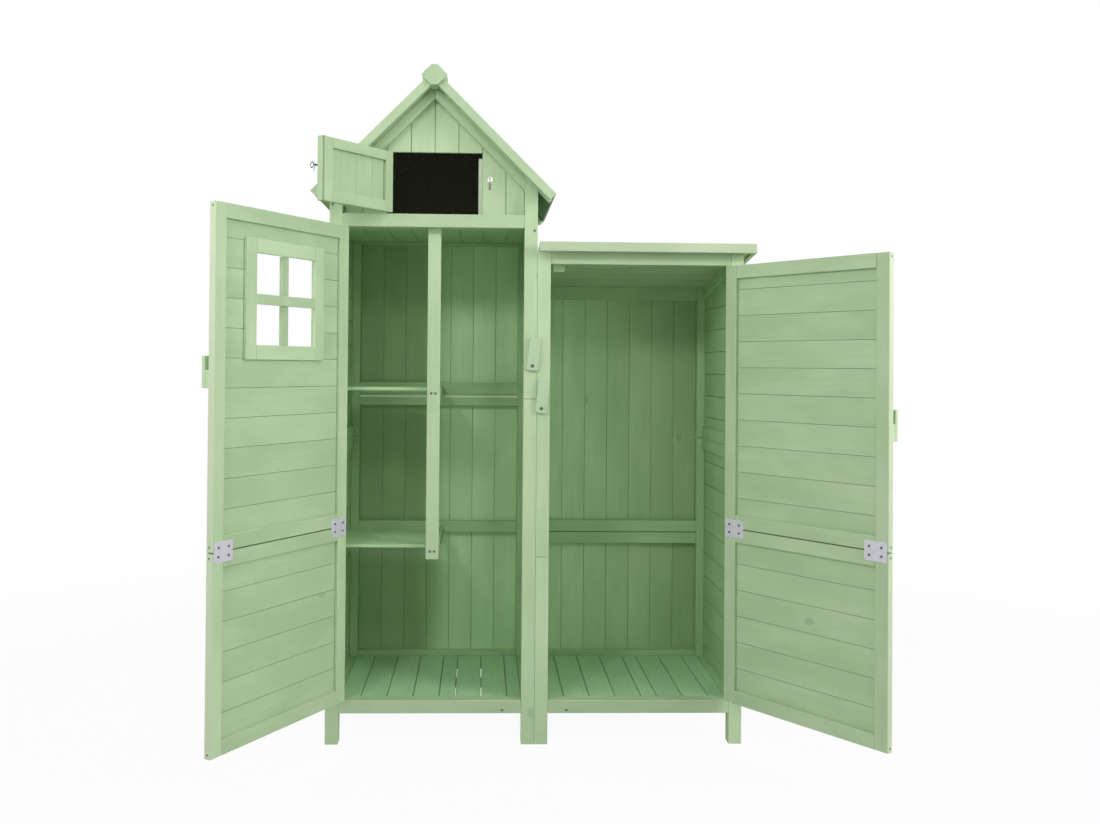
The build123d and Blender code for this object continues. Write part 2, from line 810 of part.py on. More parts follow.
def door_halves(high):
    """Lower and upper half of a door."""
    return [(door_low, door_seam - seam_gap / 2), (door_seam + seam_gap / 2, high)]


def door_panels(high):
    """Lower and upper field of boards, each let a little way into the rails."""
    return [(low + rail_height - door_lap, top - rail_height + door_lap) for low, top in door_halves(high)]


def door_stiles(inward, high):
    """Stiles of both halves, rebated behind the outer face for the board ends."""
    for low, top in door_halves(high):
        leaf(inward, leaf_start, leaf_start + stile_width, 0, door_thickness, low, top)
        leaf(inward, leaf_end - stile_width, leaf_end, 0, door_thickness, low, top)
    inner = leaf_start + stile_width
    outer = leaf_end - stile_width
    rebate = door_board + fit_gap
    for low, top in door_panels(high):
        for left, right in [(inner - rebate_width, inner), (outer, outer + rebate_width)]:
            leaf(inward, left, right, 0, rebate, low - fit_gap, top + fit_gap, Mode.SUBTRACT)


def door_rails(inward, high):
    """Rails of both halves between the stiles, rebated like them."""
    left = leaf_start + stile_width + fit_gap
    right = leaf_end - stile_width - fit_gap
    for low, top in door_halves(high):
        leaf(inward, left, right, 0, door_thickness, low, low + rail_height)
        leaf(inward, left, right, 0, door_thickness, top - rail_height, top)
    for low, top in door_panels(high):
        leaf(inward, left, right, 0, door_board + fit_gap, low - fit_gap, top + fit_gap, Mode.SUBTRACT)


def trimmed_courses(low, high, cover, first):
    """Spans of boards laid down from a trimmed top board, with a trimmed board at the foot."""
    count = int((high - first - low) / cover)
    edges_down = [high] + [high - first - i * cover for i in range(count + 1)]
    if edges_down[-1] - low > cover / 4:
        edges_down.append(low)
    else:
        edges_down[-1] = low
    return [(foot + board_gap / 2, head - board_gap / 2) for head, foot in zip(edges_down, edges_down[1:])]


def door_boards(inward, high, first):
    """Level boards of both halves, flush with the door's outer face."""
    left = leaf_start + stile_width - rebate_width + fit_gap
    right = leaf_end - stile_width + rebate_width - fit_gap
    lower, upper = door_panels(high)
    for low, top in courses(*lower, door_cover) + trimmed_courses(*upper, door_cover, first):
        leaf(inward, left, right, 0, door_board, low, top)


def join_plates(inward):
    """Plates that join the halves on the inner face, each with four screw heads."""
    low = door_seam - plate_height / 2
    spread_x = plate_width / 2 - plate_screw_inset
    spread_z = plate_height / 2 - plate_screw_inset
    for left in (leaf_start + plate_inset, leaf_end - plate_inset - plate_width):
        leaf(
            inward, left, left + plate_width, door_thickness, door_thickness + plate_thickness,
            low, low + plate_height,
        )
        for dx in (-spread_x, spread_x):
            for dz in (-spread_z, spread_z):
                point = (
                    left + plate_width / 2 + dx,
                    inward * (hinge_stand + door_thickness + plate_thickness),
                    door_seam + dz,
                )
                screw_head(point, (0, inward, 0), plate_screw_radius, plate_thickness)


def keeper(inward, button_height):
    """Latch keeper on the free stile: a bar over a spacer, open at the top for the turn button."""
    right = leaf_end - keeper_inset
    left = right - keeper_width
    shelf = button_height - button_width / 2 - keeper_clear
    top = shelf + keeper_slot_height
    bottom = shelf - keeper_spacer_height
    leaf(inward, left, right, -keeper_slot_depth - keeper_bar, -keeper_slot_depth, bottom, top)
    leaf(inward, left, right, fit_gap - keeper_slot_depth, 0, bottom, shelf)


def hinge_levels(low, high, end, count):
    """Middles of evenly spaced hinges between a door's ends."""
    step = (high - low - 2 * end) / (count - 1)
    return [low + end + i * step for i in range(count)]


def knuckles(spans, radius):
    """Barrel segments on the hinge axis."""
    for low, high in spans:
        with Locations((0, 0, (low + high) / 2)):
            Cylinder(radius, high - low)


def bore(low, high, radius):
    """Bore for a hinge pin along the axis."""
    with Locations((0, 0, (low + high) / 2)):
        Cylinder(radius, high - low, mode=Mode.SUBTRACT)


def barrel_spans(middle, height):
    """Upper and lower barrel segments, and the one between them."""
    third = height / 3
    low = middle - height / 2
    outer = [(low, low + third - knuckle_gap), (low + 2 * third + knuckle_gap, low + height)]
    return outer, (low + third, low + 2 * third)


def door_leaves(inward, levels, width, height):
    """Hinge leaves on the door's outer face, each with the middle barrel segment and screw heads."""
    for middle in levels:
        outer, inner = barrel_spans(middle, height)
        leaf(inward, knuckle_radius + knuckle_gap, width, -leaf_thickness, 0, outer[0][0], outer[1][1])
        leaf(inward, 0, knuckle_radius + 2 * knuckle_gap, -leaf_thickness, 0, *inner)
        knuckles([inner], knuckle_radius)
        bore(inner[0], inner[1], pin_radius + pin_clearance)
        for level in (middle - height / 3, middle, middle + height / 3):
            point = (width * 0.62, inward * (hinge_stand - leaf_thickness), level)
            screw_head(point, (0, -inward, 0), hinge_screw_radius, hinge_screw_height)


def post_leaves(levels, width, height, toward):
    """Hinge leaves on the fixed face beside a door, each with the outer barrel segments and screw heads."""
    for middle in levels:
        outer, inner = barrel_spans(middle, height)
        edge = -toward * (knuckle_radius + knuckle_gap)
        block(edge, -toward * width, hinge_stand - leaf_thickness, hinge_stand, outer[0][0], outer[1][1])
        for low, high in outer:
            block(
                -toward * (knuckle_radius + 2 * knuckle_gap), 0, hinge_stand - leaf_thickness, hinge_stand,
                low, high,
            )
        knuckles(outer, knuckle_radius)
        bore(outer[0][0], outer[1][1], pin_radius + pin_clearance)
        for level in (middle - height / 3, middle, middle + height / 3):
            point = (-toward * width * 0.62, hinge_stand - leaf_thickness, level)
            screw_head(point, (0, -1, 0), hinge_screw_radius, hinge_screw_height)


def pins(levels, height):
    """Headed hinge pins."""
    for middle in levels:
        low = middle - height / 2
        with Locations((0, 0, middle)):
            Cylinder(pin_radius, height + 2 * pin_clearance)
        for end in (low - pin_head_height / 2 - pin_clearance, low + height + pin_head_height / 2 + pin_clearance):
            with Locations((0, 0, end)):
                Cylinder(pin_head_radius, pin_head_height)


tall_door_high = tall_opening_top - door_head_gap
short_door_high = short_opening_top - door_head_gap
loft_door_low = tall_lintel_top + door_foot_gap
loft_door_high = loft_opening_top - loft_head_gap
tall_hinges = hinge_levels(door_low, tall_door_high, hinge_end_distance, 3)
short_hinges = hinge_levels(door_low, short_door_high, hinge_end_distance, 3)
loft_hinges = hinge_levels(loft_door_low, loft_door_high, loft_hinge_end_distance, 2)

# Tall door
with BuildPart(tall_door_plane) as tall_door_stiles:
    door_stiles(1, tall_door_high)
finish(tall_door_stiles, "tall_door_stiles")

with BuildPart(tall_door_plane) as tall_door_rails:
    door_rails(1, tall_door_high)
finish(tall_door_rails, "tall_door_rails")

window_middle = (leaf_start + leaf_end) / 2
window_centre_height = tall_door_high - window_drop
hole_left = window_middle - window_hole_width / 2
hole_right = window_middle + window_hole_width / 2
hole_low = window_centre_height - window_hole_height / 2
hole_high = window_centre_height + window_hole_height / 2
cut_left = hole_left - window_trim_lap
cut_right = hole_right + window_trim_lap
cut_low = hole_low - window_trim_lap
cut_high = hole_high + window_trim_lap
with BuildPart(tall_door_plane) as tall_door_boards:
    door_boards(1, tall_door_high, tall_first_board)
    leaf(1, cut_left, cut_right, -1, door_board + 1, cut_low, cut_high, Mode.SUBTRACT)
finish(tall_door_boards, "tall_door_boards")


def window_frame(d0, d1, lap, width):
    """Four trim strips round the window hole, the level ones between the uprights."""
    left, right = hole_left - lap, hole_right + lap
    bottom, top = hole_low - lap, hole_high + lap
    for x in (left - width, right):
        leaf(1, x, x + width, d0, d1, bottom - width, top + width)
    for z in (bottom - width, top):
        leaf(1, left + fit_gap, right - fit_gap, d0, d1, z, z + width)


with BuildPart(tall_door_plane) as window_trim:
    window_frame(door_board + fit_gap, door_thickness, 0, window_trim_width)
    window_frame(-window_outer_trim, -fit_gap, window_trim_lap, window_outer_width)
finish(window_trim, "window_trim")

with BuildPart(tall_door_plane) as window_bars:
    cross_face = door_thickness - window_cross_depth
    half = window_bar_width / 2
    leaf(
        1, window_middle - half, window_middle + half,
        cross_face - fit_gap - window_bar_depth, cross_face - fit_gap,
        hole_low + fit_gap, hole_high - fit_gap,
    )
    leaf(
        1, hole_left + fit_gap, hole_right - fit_gap, cross_face, door_thickness,
        window_centre_height - half, window_centre_height + half,
    )
finish(window_bars, "window_bars")

with BuildPart(tall_door_plane) as tall_door_plates:
    join_plates(1)
finish(tall_door_plates, "tall_door_plates")

with BuildPart(tall_door_plane) as tall_door_keeper:
    keeper(1, tall_button_height)
finish(tall_door_keeper, "tall_door_keeper")

with BuildPart(tall_door_plane) as tall_door_hinge_leaves:
    door_leaves(1, tall_hinges, leaf_width, leaf_height)
finish(tall_door_hinge_leaves, "tall_door_hinge_leaves")

# Short door
with BuildPart(short_door_plane) as short_door_stiles:
    door_stiles(-1, short_door_high)
finish(short_door_stiles, "short_door_stiles")

with BuildPart(short_door_plane) as short_door_rails:
    door_rails(-1, short_door_high)
finish(short_door_rails, "short_door_rails")

with BuildPart(short_door_plane) as short_door_boards:
    door_boards(-1, short_door_high, short_first_board)
finish(short_door_boards, "short_door_boards")

with BuildPart(short_door_plane) as short_door_plates:
    join_plates(-1)
finish(short_door_plates, "short_door_plates")

with BuildPart(short_door_plane) as short_door_keeper:
    keeper(-1, short_button_height)
finish(short_door_keeper, "short_door_keeper")

with BuildPart(short_door_plane) as short_door_hinge_leaves:
    door_leaves(-1, short_hinges, leaf_width, leaf_height)
finish(short_door_hinge_leaves, "short_door_hinge_leaves")

# Loft door: a small framed panel of standing boards
loft_width = 2 * loft_half - 2 * door_gap
loft_end = leaf_start + loft_width
loft_rebate = loft_stile / 2
with BuildPart(loft_door_plane) as loft_door_frame:
    for left, right in [(leaf_start, leaf_start + loft_stile), (loft_end - loft_free_stile, loft_end)]:
        leaf(1, left, right, 0, loft_door_thickness, loft_door_low, loft_door_high)
    for low, high in [
        (loft_door_low, loft_door_low + loft_foot_rail),
        (loft_door_high - loft_stile, loft_door_high),
    ]:
        leaf(
            1, leaf_start + loft_stile + fit_gap, loft_end - loft_free_stile - fit_gap, 0, loft_door_thickness,
            low, high,
        )
    leaf(
        1, leaf_start + loft_rebate, loft_end - loft_rebate, 0, loft_board + fit_gap,
        loft_door_low + loft_rebate, loft_door_high - loft_rebate, Mode.SUBTRACT,
    )
finish(loft_door_frame, "loft_door_frame")

with BuildPart(loft_door_plane) as loft_door_boards:
    for left, right in courses(leaf_start + loft_rebate, loft_end - loft_rebate, gable_cover):
        leaf(
            1, left, right, 0, loft_board,
            loft_door_low + loft_rebate + fit_gap, loft_door_high - loft_rebate - fit_gap,
        )
finish(loft_door_boards, "loft_door_boards")

# Hasp: a leaf on the loft door and a slotted strap that closes over a staple on the gable
hasp_axis_x = loft_end - hasp_edge_inset
hasp_axis_y = hinge_stand - hasp_thickness - hasp_knuckle_radius
hasp_third = strap_width / 3
hasp_low = hasp_height - strap_width / 2
hasp_outer = [
    (hasp_low - hasp_third, hasp_low - knuckle_gap),
    (hasp_low + strap_width + knuckle_gap, hasp_low + strap_width + hasp_third),
]
with BuildPart(loft_door_plane) as loft_door_hardware:
    door_leaves(1, loft_hinges, loft_leaf_width, loft_leaf_height)
    leaf(
        1, hasp_axis_x - hasp_leaf_width - hasp_knuckle_radius, hasp_axis_x - hasp_knuckle_radius - knuckle_gap,
        -hasp_thickness, 0, hasp_outer[0][0], hasp_outer[1][1],
    )
    for low, high in hasp_outer:
        leaf(1, hasp_axis_x - hasp_knuckle_radius - 2 * knuckle_gap, hasp_axis_x, -hasp_thickness, 0, low, high)
        with Locations((hasp_axis_x, hasp_axis_y, (low + high) / 2)):
            Cylinder(hasp_knuckle_radius, high - low)
    with Locations((hasp_axis_x, hasp_axis_y, hasp_height)):
        Cylinder(hasp_pin_radius, hasp_outer[1][1] - hasp_outer[0][0])
finish(loft_door_hardware, "loft_door_hardware")

# The strap's own plane lies on the hasp axis; at 0 degrees the strap runs on from the door, lying over the staple.
strap_turn = radians(strap_angle)
hasp_origin = loft_door_plane.from_local_coords(Vector(hasp_axis_x, hasp_axis_y, 0))
strap_dir = loft_door_plane.x_dir * cos(strap_turn) - loft_door_plane.y_dir * sin(strap_turn)
strap_plane = Plane(origin=hasp_origin, x_dir=strap_dir, z_dir=(0, 0, 1))
staple_reach = hasp_edge_inset + door_gap + staple_edge
with BuildPart(strap_plane) as hasp_strap:
    block(
        0, strap_length, hasp_knuckle_radius - hasp_thickness, hasp_knuckle_radius,
        hasp_low, hasp_low + strap_width,
    )
    with Locations((0, 0, hasp_height)):
        Cylinder(hasp_knuckle_radius, strap_width)
    with Locations((0, 0, hasp_height)):
        Cylinder(hasp_pin_radius + pin_clearance, strap_width, mode=Mode.SUBTRACT)
    block(
        staple_reach - strap_slot_width / 2, staple_reach + strap_slot_width / 2,
        -hasp_knuckle_radius, 2 * hasp_knuckle_radius,
        hasp_height - strap_slot_length / 2, hasp_height + strap_slot_length / 2, mode=Mode.SUBTRACT,
    )
finish(hasp_strap, "hasp_strap")

staple_x = tall_middle + loft_half + staple_edge
staple_plate_high = hasp_height + strap_slot_length
staple_span = strap_slot_length - staple_wire - 2 * knuckle_gap
with BuildPart() as loft_staple:
    block(
        staple_x - staple_plate_width / 2, staple_x + staple_plate_width / 2,
        gable_face - hasp_thickness + fit_gap, gable_face,
        staple_plate_high - staple_plate_height, staple_plate_high,
    )
    for level in (hasp_height - staple_span / 2, hasp_height + staple_span / 2):
        block(
            staple_x - staple_wire / 2, staple_x + staple_wire / 2, gable_face - staple_rise, gable_face,
            level - staple_wire / 2, level + staple_wire / 2,
        )
    block(
        staple_x - staple_wire / 2, staple_x + staple_wire / 2,
        gable_face - staple_rise, gable_face - staple_rise + staple_wire,
        hasp_height - staple_span / 2, hasp_height + staple_span / 2,
    )
finish(loft_staple, "loft_staple")

# Hinge leaves on the posts and the gable, with the pins
fixed_hinges = [
    (tall_door_plane.origin, tall_hinges, leaf_width, leaf_height, 1),
    (short_door_plane.origin, short_hinges, leaf_width, leaf_height, -1),
    (loft_door_plane.origin, loft_hinges, loft_leaf_width, loft_leaf_height, 1),
]
with BuildPart() as hinge_post_leaves:
    for axis, levels, width, height, toward in fixed_hinges:
        with Locations(axis):
            post_leaves(levels, width, height, toward)
finish(hinge_post_leaves, "hinge_post_leaves")

with BuildPart() as hinge_pins:
    for axis, levels, width, height, toward in fixed_hinges:
        with Locations(axis):
            pins(levels, height)
finish(hinge_pins, "hinge_pins")


# Turn buttons on the seam posts
def button_plane(x, height, lean):
    """Plane on a button's back face at its pivot, with X along the button."""
    turn = radians(lean)
    return Plane(origin=(x, front - button_stand, height), x_dir=(sin(turn), 0, cos(turn)), z_dir=(0, -1, 0))


def turn_button():
    """Rounded wooden bar with a pivot bore near its lower end."""
    with Locations((button_length / 2 - button_tail, 0, button_thickness / 2)):
        Box(button_length, button_width, button_thickness)
    fillet(edges().filter_by(Axis.Y), button_corner)
    with Locations((0, 0, button_thickness / 2)):
        Cylinder(pivot_hole_radius, button_thickness * 2, mode=Mode.SUBTRACT)


with BuildPart(button_plane(tall_button_x, tall_button_height, tall_button_lean)) as tall_turn_button:
    turn_button()
finish(tall_turn_button, "tall_turn_button")

with BuildPart(button_plane(short_button_x, short_button_height, short_button_lean)) as short_turn_button:
    turn_button()
finish(short_turn_button, "short_turn_button")

# Screws: the button pivots, and the heads that show on the sills, posts, divider and shelf cleats
pivot_seat = front - button_stand - button_thickness - pin_clearance
with BuildPart() as carcass_screws:
    for x, height in [(tall_button_x, tall_button_height), (short_button_x, short_button_height)]:
        with Locations(Plane(origin=(x, front + pivot_depth, height), z_dir=(0, -1, 0))):
            Cylinder(
                pivot_shank_radius, front + pivot_depth - pivot_seat,
                align=(Align.CENTER, Align.CENTER, Align.MIN),
            )
        screw_head((x, pivot_seat, height), (0, -1, 0), screw_head_radius + 1, screw_head_height * 2)
    for x in (tall_right - sill_screw_offset, short_left + sill_screw_offset):
        screw_head((x, front, foot_height + sill_height / 4), (0, -1, 0))
    screw_head((tall_left + post_screw_inset, front, tall_lintel_top + post_screw_rise), (0, -1, 0))
    screw_head((tall_right - post_screw_inset, front, tall_opening_top - post_screw_drop), (0, -1, 0))
    for dx in (-divider_screw_spread, divider_screw_spread):
        for top in (upper_shelf_top, lower_shelf_top):
            height = top - shelf_thickness - shelf_bearer_height / 2 + divider_screw_rise
            screw_head(((divider_left + divider_right) / 2 + dx, divider_face, height), (0, -1, 0))
    for top in (upper_shelf_top, lower_shelf_top):
        for part in (0.2, 0.75):
            height = top - shelf_thickness - fit_gap - shelf_bearer_height / 2
            screw_head((shelf_left + shelf_bearer_width, shelf_near + part * shelf_depth, height), (1, 0, 0))
finish(carcass_screws, "carcass_screws")
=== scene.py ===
"""Looks of the two-bay garden tool shed: stained boards, galvanised fittings, studio and camera."""
import json
from math import cos, pi, radians, sin

import bmesh
import bpy
from mathutils import Matrix, Vector


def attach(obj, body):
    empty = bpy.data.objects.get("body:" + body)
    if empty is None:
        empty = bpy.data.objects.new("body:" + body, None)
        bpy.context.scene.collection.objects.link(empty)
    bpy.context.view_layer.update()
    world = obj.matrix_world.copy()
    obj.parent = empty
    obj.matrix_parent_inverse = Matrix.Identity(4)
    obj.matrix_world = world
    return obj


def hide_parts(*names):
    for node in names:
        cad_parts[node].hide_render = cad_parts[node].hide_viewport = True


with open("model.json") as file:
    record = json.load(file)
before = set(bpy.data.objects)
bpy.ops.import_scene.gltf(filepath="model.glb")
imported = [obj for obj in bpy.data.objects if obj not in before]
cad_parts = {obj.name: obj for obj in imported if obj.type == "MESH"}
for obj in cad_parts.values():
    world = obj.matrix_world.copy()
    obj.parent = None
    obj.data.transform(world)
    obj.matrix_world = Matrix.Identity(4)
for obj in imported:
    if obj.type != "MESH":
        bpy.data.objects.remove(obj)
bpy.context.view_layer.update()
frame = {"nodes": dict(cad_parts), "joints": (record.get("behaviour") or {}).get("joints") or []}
nodes = frame["nodes"]
hinges = {joint["name"]: Vector(joint["pos_m"]) for joint in frame["joints"]}

# Points of a solid that lie closer than this are one point; lengths are in metres
MM = 0.001
SAME_POINT = 0.01 * MM

# Sizes and places repeated from the solids: openings in degrees, slopes in radians
TALL_DOOR_OPEN = 120.6
SHORT_DOOR_OPEN = 127.0
LOFT_DOOR_OPEN = 129.0
PENT_SLOPE = radians(8.2)
GABLE_SLOPE = pi / 4
TALL_MIDDLE = -253 * MM
HINGE_STAND = 3.6 * MM
LEAF_START = 1 * MM
DOOR_WIDTH = 468 * MM
DOOR_THICKNESS = 18 * MM
DOOR_FOOT = 118 * MM
DOOR_SEAM = 566 * MM
TALL_DOOR_HEAD = 1335 * MM
SHORT_DOOR_HEAD = 1243 * MM
WINDOW_HALF_WIDTH = 102.5 * MM
WINDOW_BAR_WIDTH = 24 * MM
LOFT_WIDTH = 245 * MM
LOFT_STILE = 25 * MM
LOFT_FREE_STILE = 35 * MM
PLATE_WIDTH = 57 * MM
PLATE_HEIGHT = 46 * MM
PLATE_THICKNESS = 1.5 * MM
PLATE_INSET = 4 * MM
PLATE_SCREW_INSET = 13 * MM
SCREW_RADIUS = 3.2 * MM
SCREW_HEIGHT = 1.2 * MM
SIDE_HEAD_MOST = 2 * MM
PIVOT_LEAST = 4 * MM
TALL_BACK_SEAM = 886.7 * MM
SHORT_BACK_SEAM = 484 * MM
WALL_LEFT = -513 * MM
WALL_RIGHT = 547.6 * MM
WALL_BACK = 423 * MM
LOFT_HALF = 260 * MM
LOFT_FLOOR = 1355 * MM
LOFT_FRONT = 17 * MM
ROOF_LINE = 1723.7 * MM
ALONG_SLOPE = 1.4
HASP_OPEN = 100.0
STAPLE_AT = Vector((-0.109, 0.007, 1.468))
TALL_FLOOR_GAPS = (-189 * MM, -121 * MM)

# Tongues in the joints of boards: joints that take one, its place in the board and its least length
JOINT_LEAST = 0.05 * MM
JOINT_MOST = 2 * MM
EDGE_REACH = 0.3 * MM
GAP_REACH = 4 * MM
TONGUE_LET_IN = 1 * MM
TONGUE_SHARE = 0.22
TONGUE_LEAST = 5 * MM
BOARD_LEAST = 2 * MM
TONGUE_DEPTH = 3 * MM
BACK_TONGUE_DEPTH = 8 * MM

# Stretches over which a stain, a painted shade or a painted light comes in or goes out, as distances from
# where it is measured
FREE_EDGE_FADE = (-2 * MM, -1 * MM)
# Painted shadow line a little in from the loft door's free edge
EDGE_SHADOW_LINE_IN = (-7.5 * MM, -6 * MM)
EDGE_SHADOW_LINE_OUT = (-0.5 * MM, -1 * MM)
SEAM_FADE = (2.1 * MM, 1.4 * MM)
EAVE_FADE = (5 * MM, 12 * MM)
LEFT_BACK_FADE = (-320 * MM, -190 * MM)
RIGHT_BACK_FADE = (520 * MM, 60 * MM)

# Wood figure: how many of each lie in a metre along and across the grain
FIBRES = (16.0, 520.0)
STREAKS = (3.0, 95.0)
BANDS = (1.1, 17.0)
BLOTCHES = (4.0, 9.0)
KNOTS = (3.6, 5.0)
RINGS_IN_BAND = 9.0
BOARD_SHIFT = 41.0
WOOD_RELIEF = 0.5 * MM

# Rolling lines in plated steel, in a metre along and across them
ROLLING = (300.0, 2600.0)
PLATING_RELIEF = 0.2 * MM

# Stain and metal colours, and the colours of painted shade, light, highlight and glow, in scene-linear light
SAGE = (0.455, 0.605, 0.37, 1)
SAGE_PALE = (0.53, 0.66, 0.43, 1)
SAGE_DEEP = (0.36, 0.50, 0.29, 1)
SAGE_FACE = (0.51, 0.67, 0.415, 1)
SAGE_FACE_PALE = (0.585, 0.725, 0.475, 1)
SAGE_FACE_DEEP = (0.41, 0.56, 0.33, 1)
# Floor stain, paler and bluer than the sage: painted light from the white surroundings
SAGE_PAINTED_SKYLIGHT = (0.53, 0.75, 0.57, 1)
# Painted shade: faces inside the bays are made deeper and greener
INSIDE_PAINTED_SHADE = (0.865, 0.985, 0.86, 1)
# Painted light on the back boards inside the bays, and painted shade towards the tall bay's left and the
# short bay's right
BACK_PAINTED_LIGHT = (1.24, 1.36, 1.23, 1)
OUTER_PAINTED_SHADE = (0.58, 0.60, 0.56, 1)
# Painted shade for the undersides of the roof boards at the right eave
EAVE_PAINTED_SHADE = (0.30, 0.36, 0.31, 1)
THIN_STAIN = (0.60, 0.60, 0.44, 1)
WORN_EDGE = (0.60, 0.68, 0.50, 1)
EDGE_GRAIN = (0.60, 0.66, 0.48, 1)
GROOVE = (0.20, 0.28, 0.145, 1)
# Painted highlight along the seam of the tall back's rails
SEAM_PAINTED_HIGHLIGHT = (0.95, 0.98, 0.90, 1)
KNOT_HEART = (0.20, 0.27, 0.14, 1)
KNOT_RIM = (0.12, 0.17, 0.085, 1)
# Painted shade for the loft's inside, near black, and a faint painted glow there, though nothing in the loft
# is a lamp
LOFT_PAINTED_SHADE = (0.06, 0.062, 0.043, 1)
LOFT_PAINTED_GLOW = (0.0058, 0.0061, 0.0037, 1)
BLACK = (0, 0, 0, 1)
ZINC = (0.68, 0.66, 0.74, 1)
ZINC_DULL = (0.61, 0.59, 0.67, 1)
HINGE_DULL = (0.47, 0.46, 0.50, 1)
STEEL = (0.22, 0.215, 0.21, 1)
STEEL_DARK = (0.07, 0.07, 0.068, 1)
NICKEL = (0.72, 0.71, 0.69, 1)
NICKEL_DARK = (0.34, 0.34, 0.34, 1)
BLUED = (0.075, 0.075, 0.075, 1)
BLUED_DARK = (0.03, 0.03, 0.03, 1)
BRASSED = (0.36, 0.29, 0.25, 1)
FASCIA = (0.46, 0.555, 0.365, 1)
FASCIA_PALE = (0.51, 0.60, 0.405, 1)
BUTTON = (0.49, 0.64, 0.43, 1)
BUTTON_PALE = (0.53, 0.67, 0.46, 1)
# Loft door stop: paler than the sage stain, painted light on a piece that sits in shade
STOP = (0.60, 0.69, 0.53, 1)
STOP_PALE = (0.68, 0.74, 0.60, 1)
TONGUE_DARK = (0.13, 0.19, 0.10, 1)
FLOOR_PAINT = (0.6, 0.6, 0.6, 1)
WHITE = (1, 1, 1, 1)
STUDIO_WHITE = (0.98, 0.99, 1.0, 1)


class Signal:
    """A shader socket: sums on signals add Math nodes to their finish."""

    def __init__(self, finish, socket):
        self.finish = finish
        self.socket = socket

    def math(self, operation, *values):
        """One Math node on the given values."""
        return self.finish.add("ShaderNodeMath", {"operation": operation}, dict(enumerate(values)))

    def __add__(self, other):
        return self.math("ADD", self, other)

    def __sub__(self, other):
        return self.math("SUBTRACT", self, other)

    def __rsub__(self, other):
        return self.math("SUBTRACT", other, self)

    def __mul__(self, other):
        return self.math("MULTIPLY", self, other)

    def __abs__(self):
        return self.math("ABSOLUTE", self)

    __radd__ = __add__
    __rmul__ = __mul__

    def above(self, level):
        """1 where the signal is over a level, else 0."""
        return self.math("GREATER_THAN", self, level)

    def ramp(self, low, high):
        """Smooth rise from 0 at low to 1 at high, or a fall where low is over high."""
        return self.finish.add(
            "ShaderNodeMapRange", {"interpolation_type": "SMOOTHSTEP"},
            {"Value": self, "From Min": low, "From Max": high},
        )


class Finish:
    """The nodes of a material or of the surroundings: add() is the one way that a node gets in."""

    def __init__(self, owner):
        self.owner = owner
        owner.use_nodes = True
        self.tree = owner.node_tree
        self.tree.nodes.clear()

    def add(self, kind, settings=None, inputs=None, output=0):
        """Node of a type with its settings, then its socket values or links; gives one of its outputs."""
        node = self.tree.nodes.new(kind)
        for key, value in (settings or {}).items():
            setattr(node, key, value)
        for key, value in (inputs or {}).items():
            if isinstance(value, Signal):
                self.tree.links.new(value.socket, node.inputs[key])
            else:
                node.inputs[key].default_value = value
        return Signal(self, node.outputs[output]) if node.outputs else None

    def blend(self, amount, first, second):
        """Colour between two colours."""
        return self.add("ShaderNodeMix", {"data_type": "RGBA"}, {0: amount, 6: first, 7: second}, 2)

    def vector(self, x, y, z):
        """Vector of three signals or numbers."""
        return self.add("ShaderNodeCombineXYZ", None, {0: x, 1: y, 2: z})

    def tint(self, amount, colour, by):
        """Colour multiplied by another colour."""
        settings = {"data_type": "RGBA", "blend_type": "MULTIPLY"}
        return self.add("ShaderNodeMix", settings, {0: amount, 6: colour, 7: by}, 2)

    def dot(self, spot, axis):
        """How far a vector reaches along a fixed direction."""
        return self.add("ShaderNodeVectorMath", {"operation": "DOT_PRODUCT"}, {0: spot, 1: axis}, "Value")

    def noise(self, place, scale, detail=2.0, roughness=0.5, distortion=0.0):
        """Noise from 0 to 1."""
        inputs = {
            "Vector": place, "Scale": scale, "Detail": detail,
            "Roughness": roughness, "Distortion": distortion,
        }
        return self.add("ShaderNodeTexNoise", None, inputs)

    def place(self):
        """X, Y and Z on the piece, which stay with it as it moves."""
        spot = self.add("ShaderNodeTexCoord", None, None, "Object")
        return [self.add("ShaderNodeSeparateXYZ", None, {0: spot}, i) for i in range(3)]

    def surface(self, **sockets):
        """Principled surface to the output, with underscores for the spaces in socket names."""
        inputs = {key.replace("_", " "): value for key, value in sockets.items()}
        shader = self.add("ShaderNodeBsdfPrincipled", None, inputs)
        self.add("ShaderNodeOutputMaterial", None, {"Surface": shader})
        return self.owner


class Grain:
    """The way that a piece's grain runs: along it, across its broad face, and through it."""

    def __init__(self, along, across, origin=(0, 0, 0)):
        first, second = Vector(along), Vector(across)
        self.axes = [first, second, first.cross(second)]
        self.origin = Vector(origin)

    def place(self, finish):
        """Places along, across and through the piece."""
        spot = finish.add("ShaderNodeTexCoord", None, None, "Object")
        return [finish.dot(spot, axis) - axis.dot(self.origin) for axis in self.axes]

    def facing(self, finish):
        """Shares of the way that the surface faces along, across and through the piece."""
        way = finish.add("ShaderNodeTexCoord", None, None, "Normal")
        return [finish.dot(way, axis) for axis in self.axes]


class FrameGrain(Grain):
    """Grain of a frame on a door: upright in some strips of the door's width, level in the rest."""

    def __init__(self, along, across, origin, uprights):
        super().__init__(along, across, origin)
        self.uprights = uprights

    def turned(self, finish, parts):
        """Swap the first two of three signals in the upright strips."""
        along = super().place(finish)[0]
        side = sum(along.above(low) * (1 - along.above(high)) for low, high in self.uprights)
        level = 1 - side
        return [parts[1] * side + parts[0] * level, parts[0] * side + parts[1] * level, parts[2]]

    def place(self, finish):
        return self.turned(finish, super().place(finish))

    def facing(self, finish):
        return self.turned(finish, super().facing(finish))


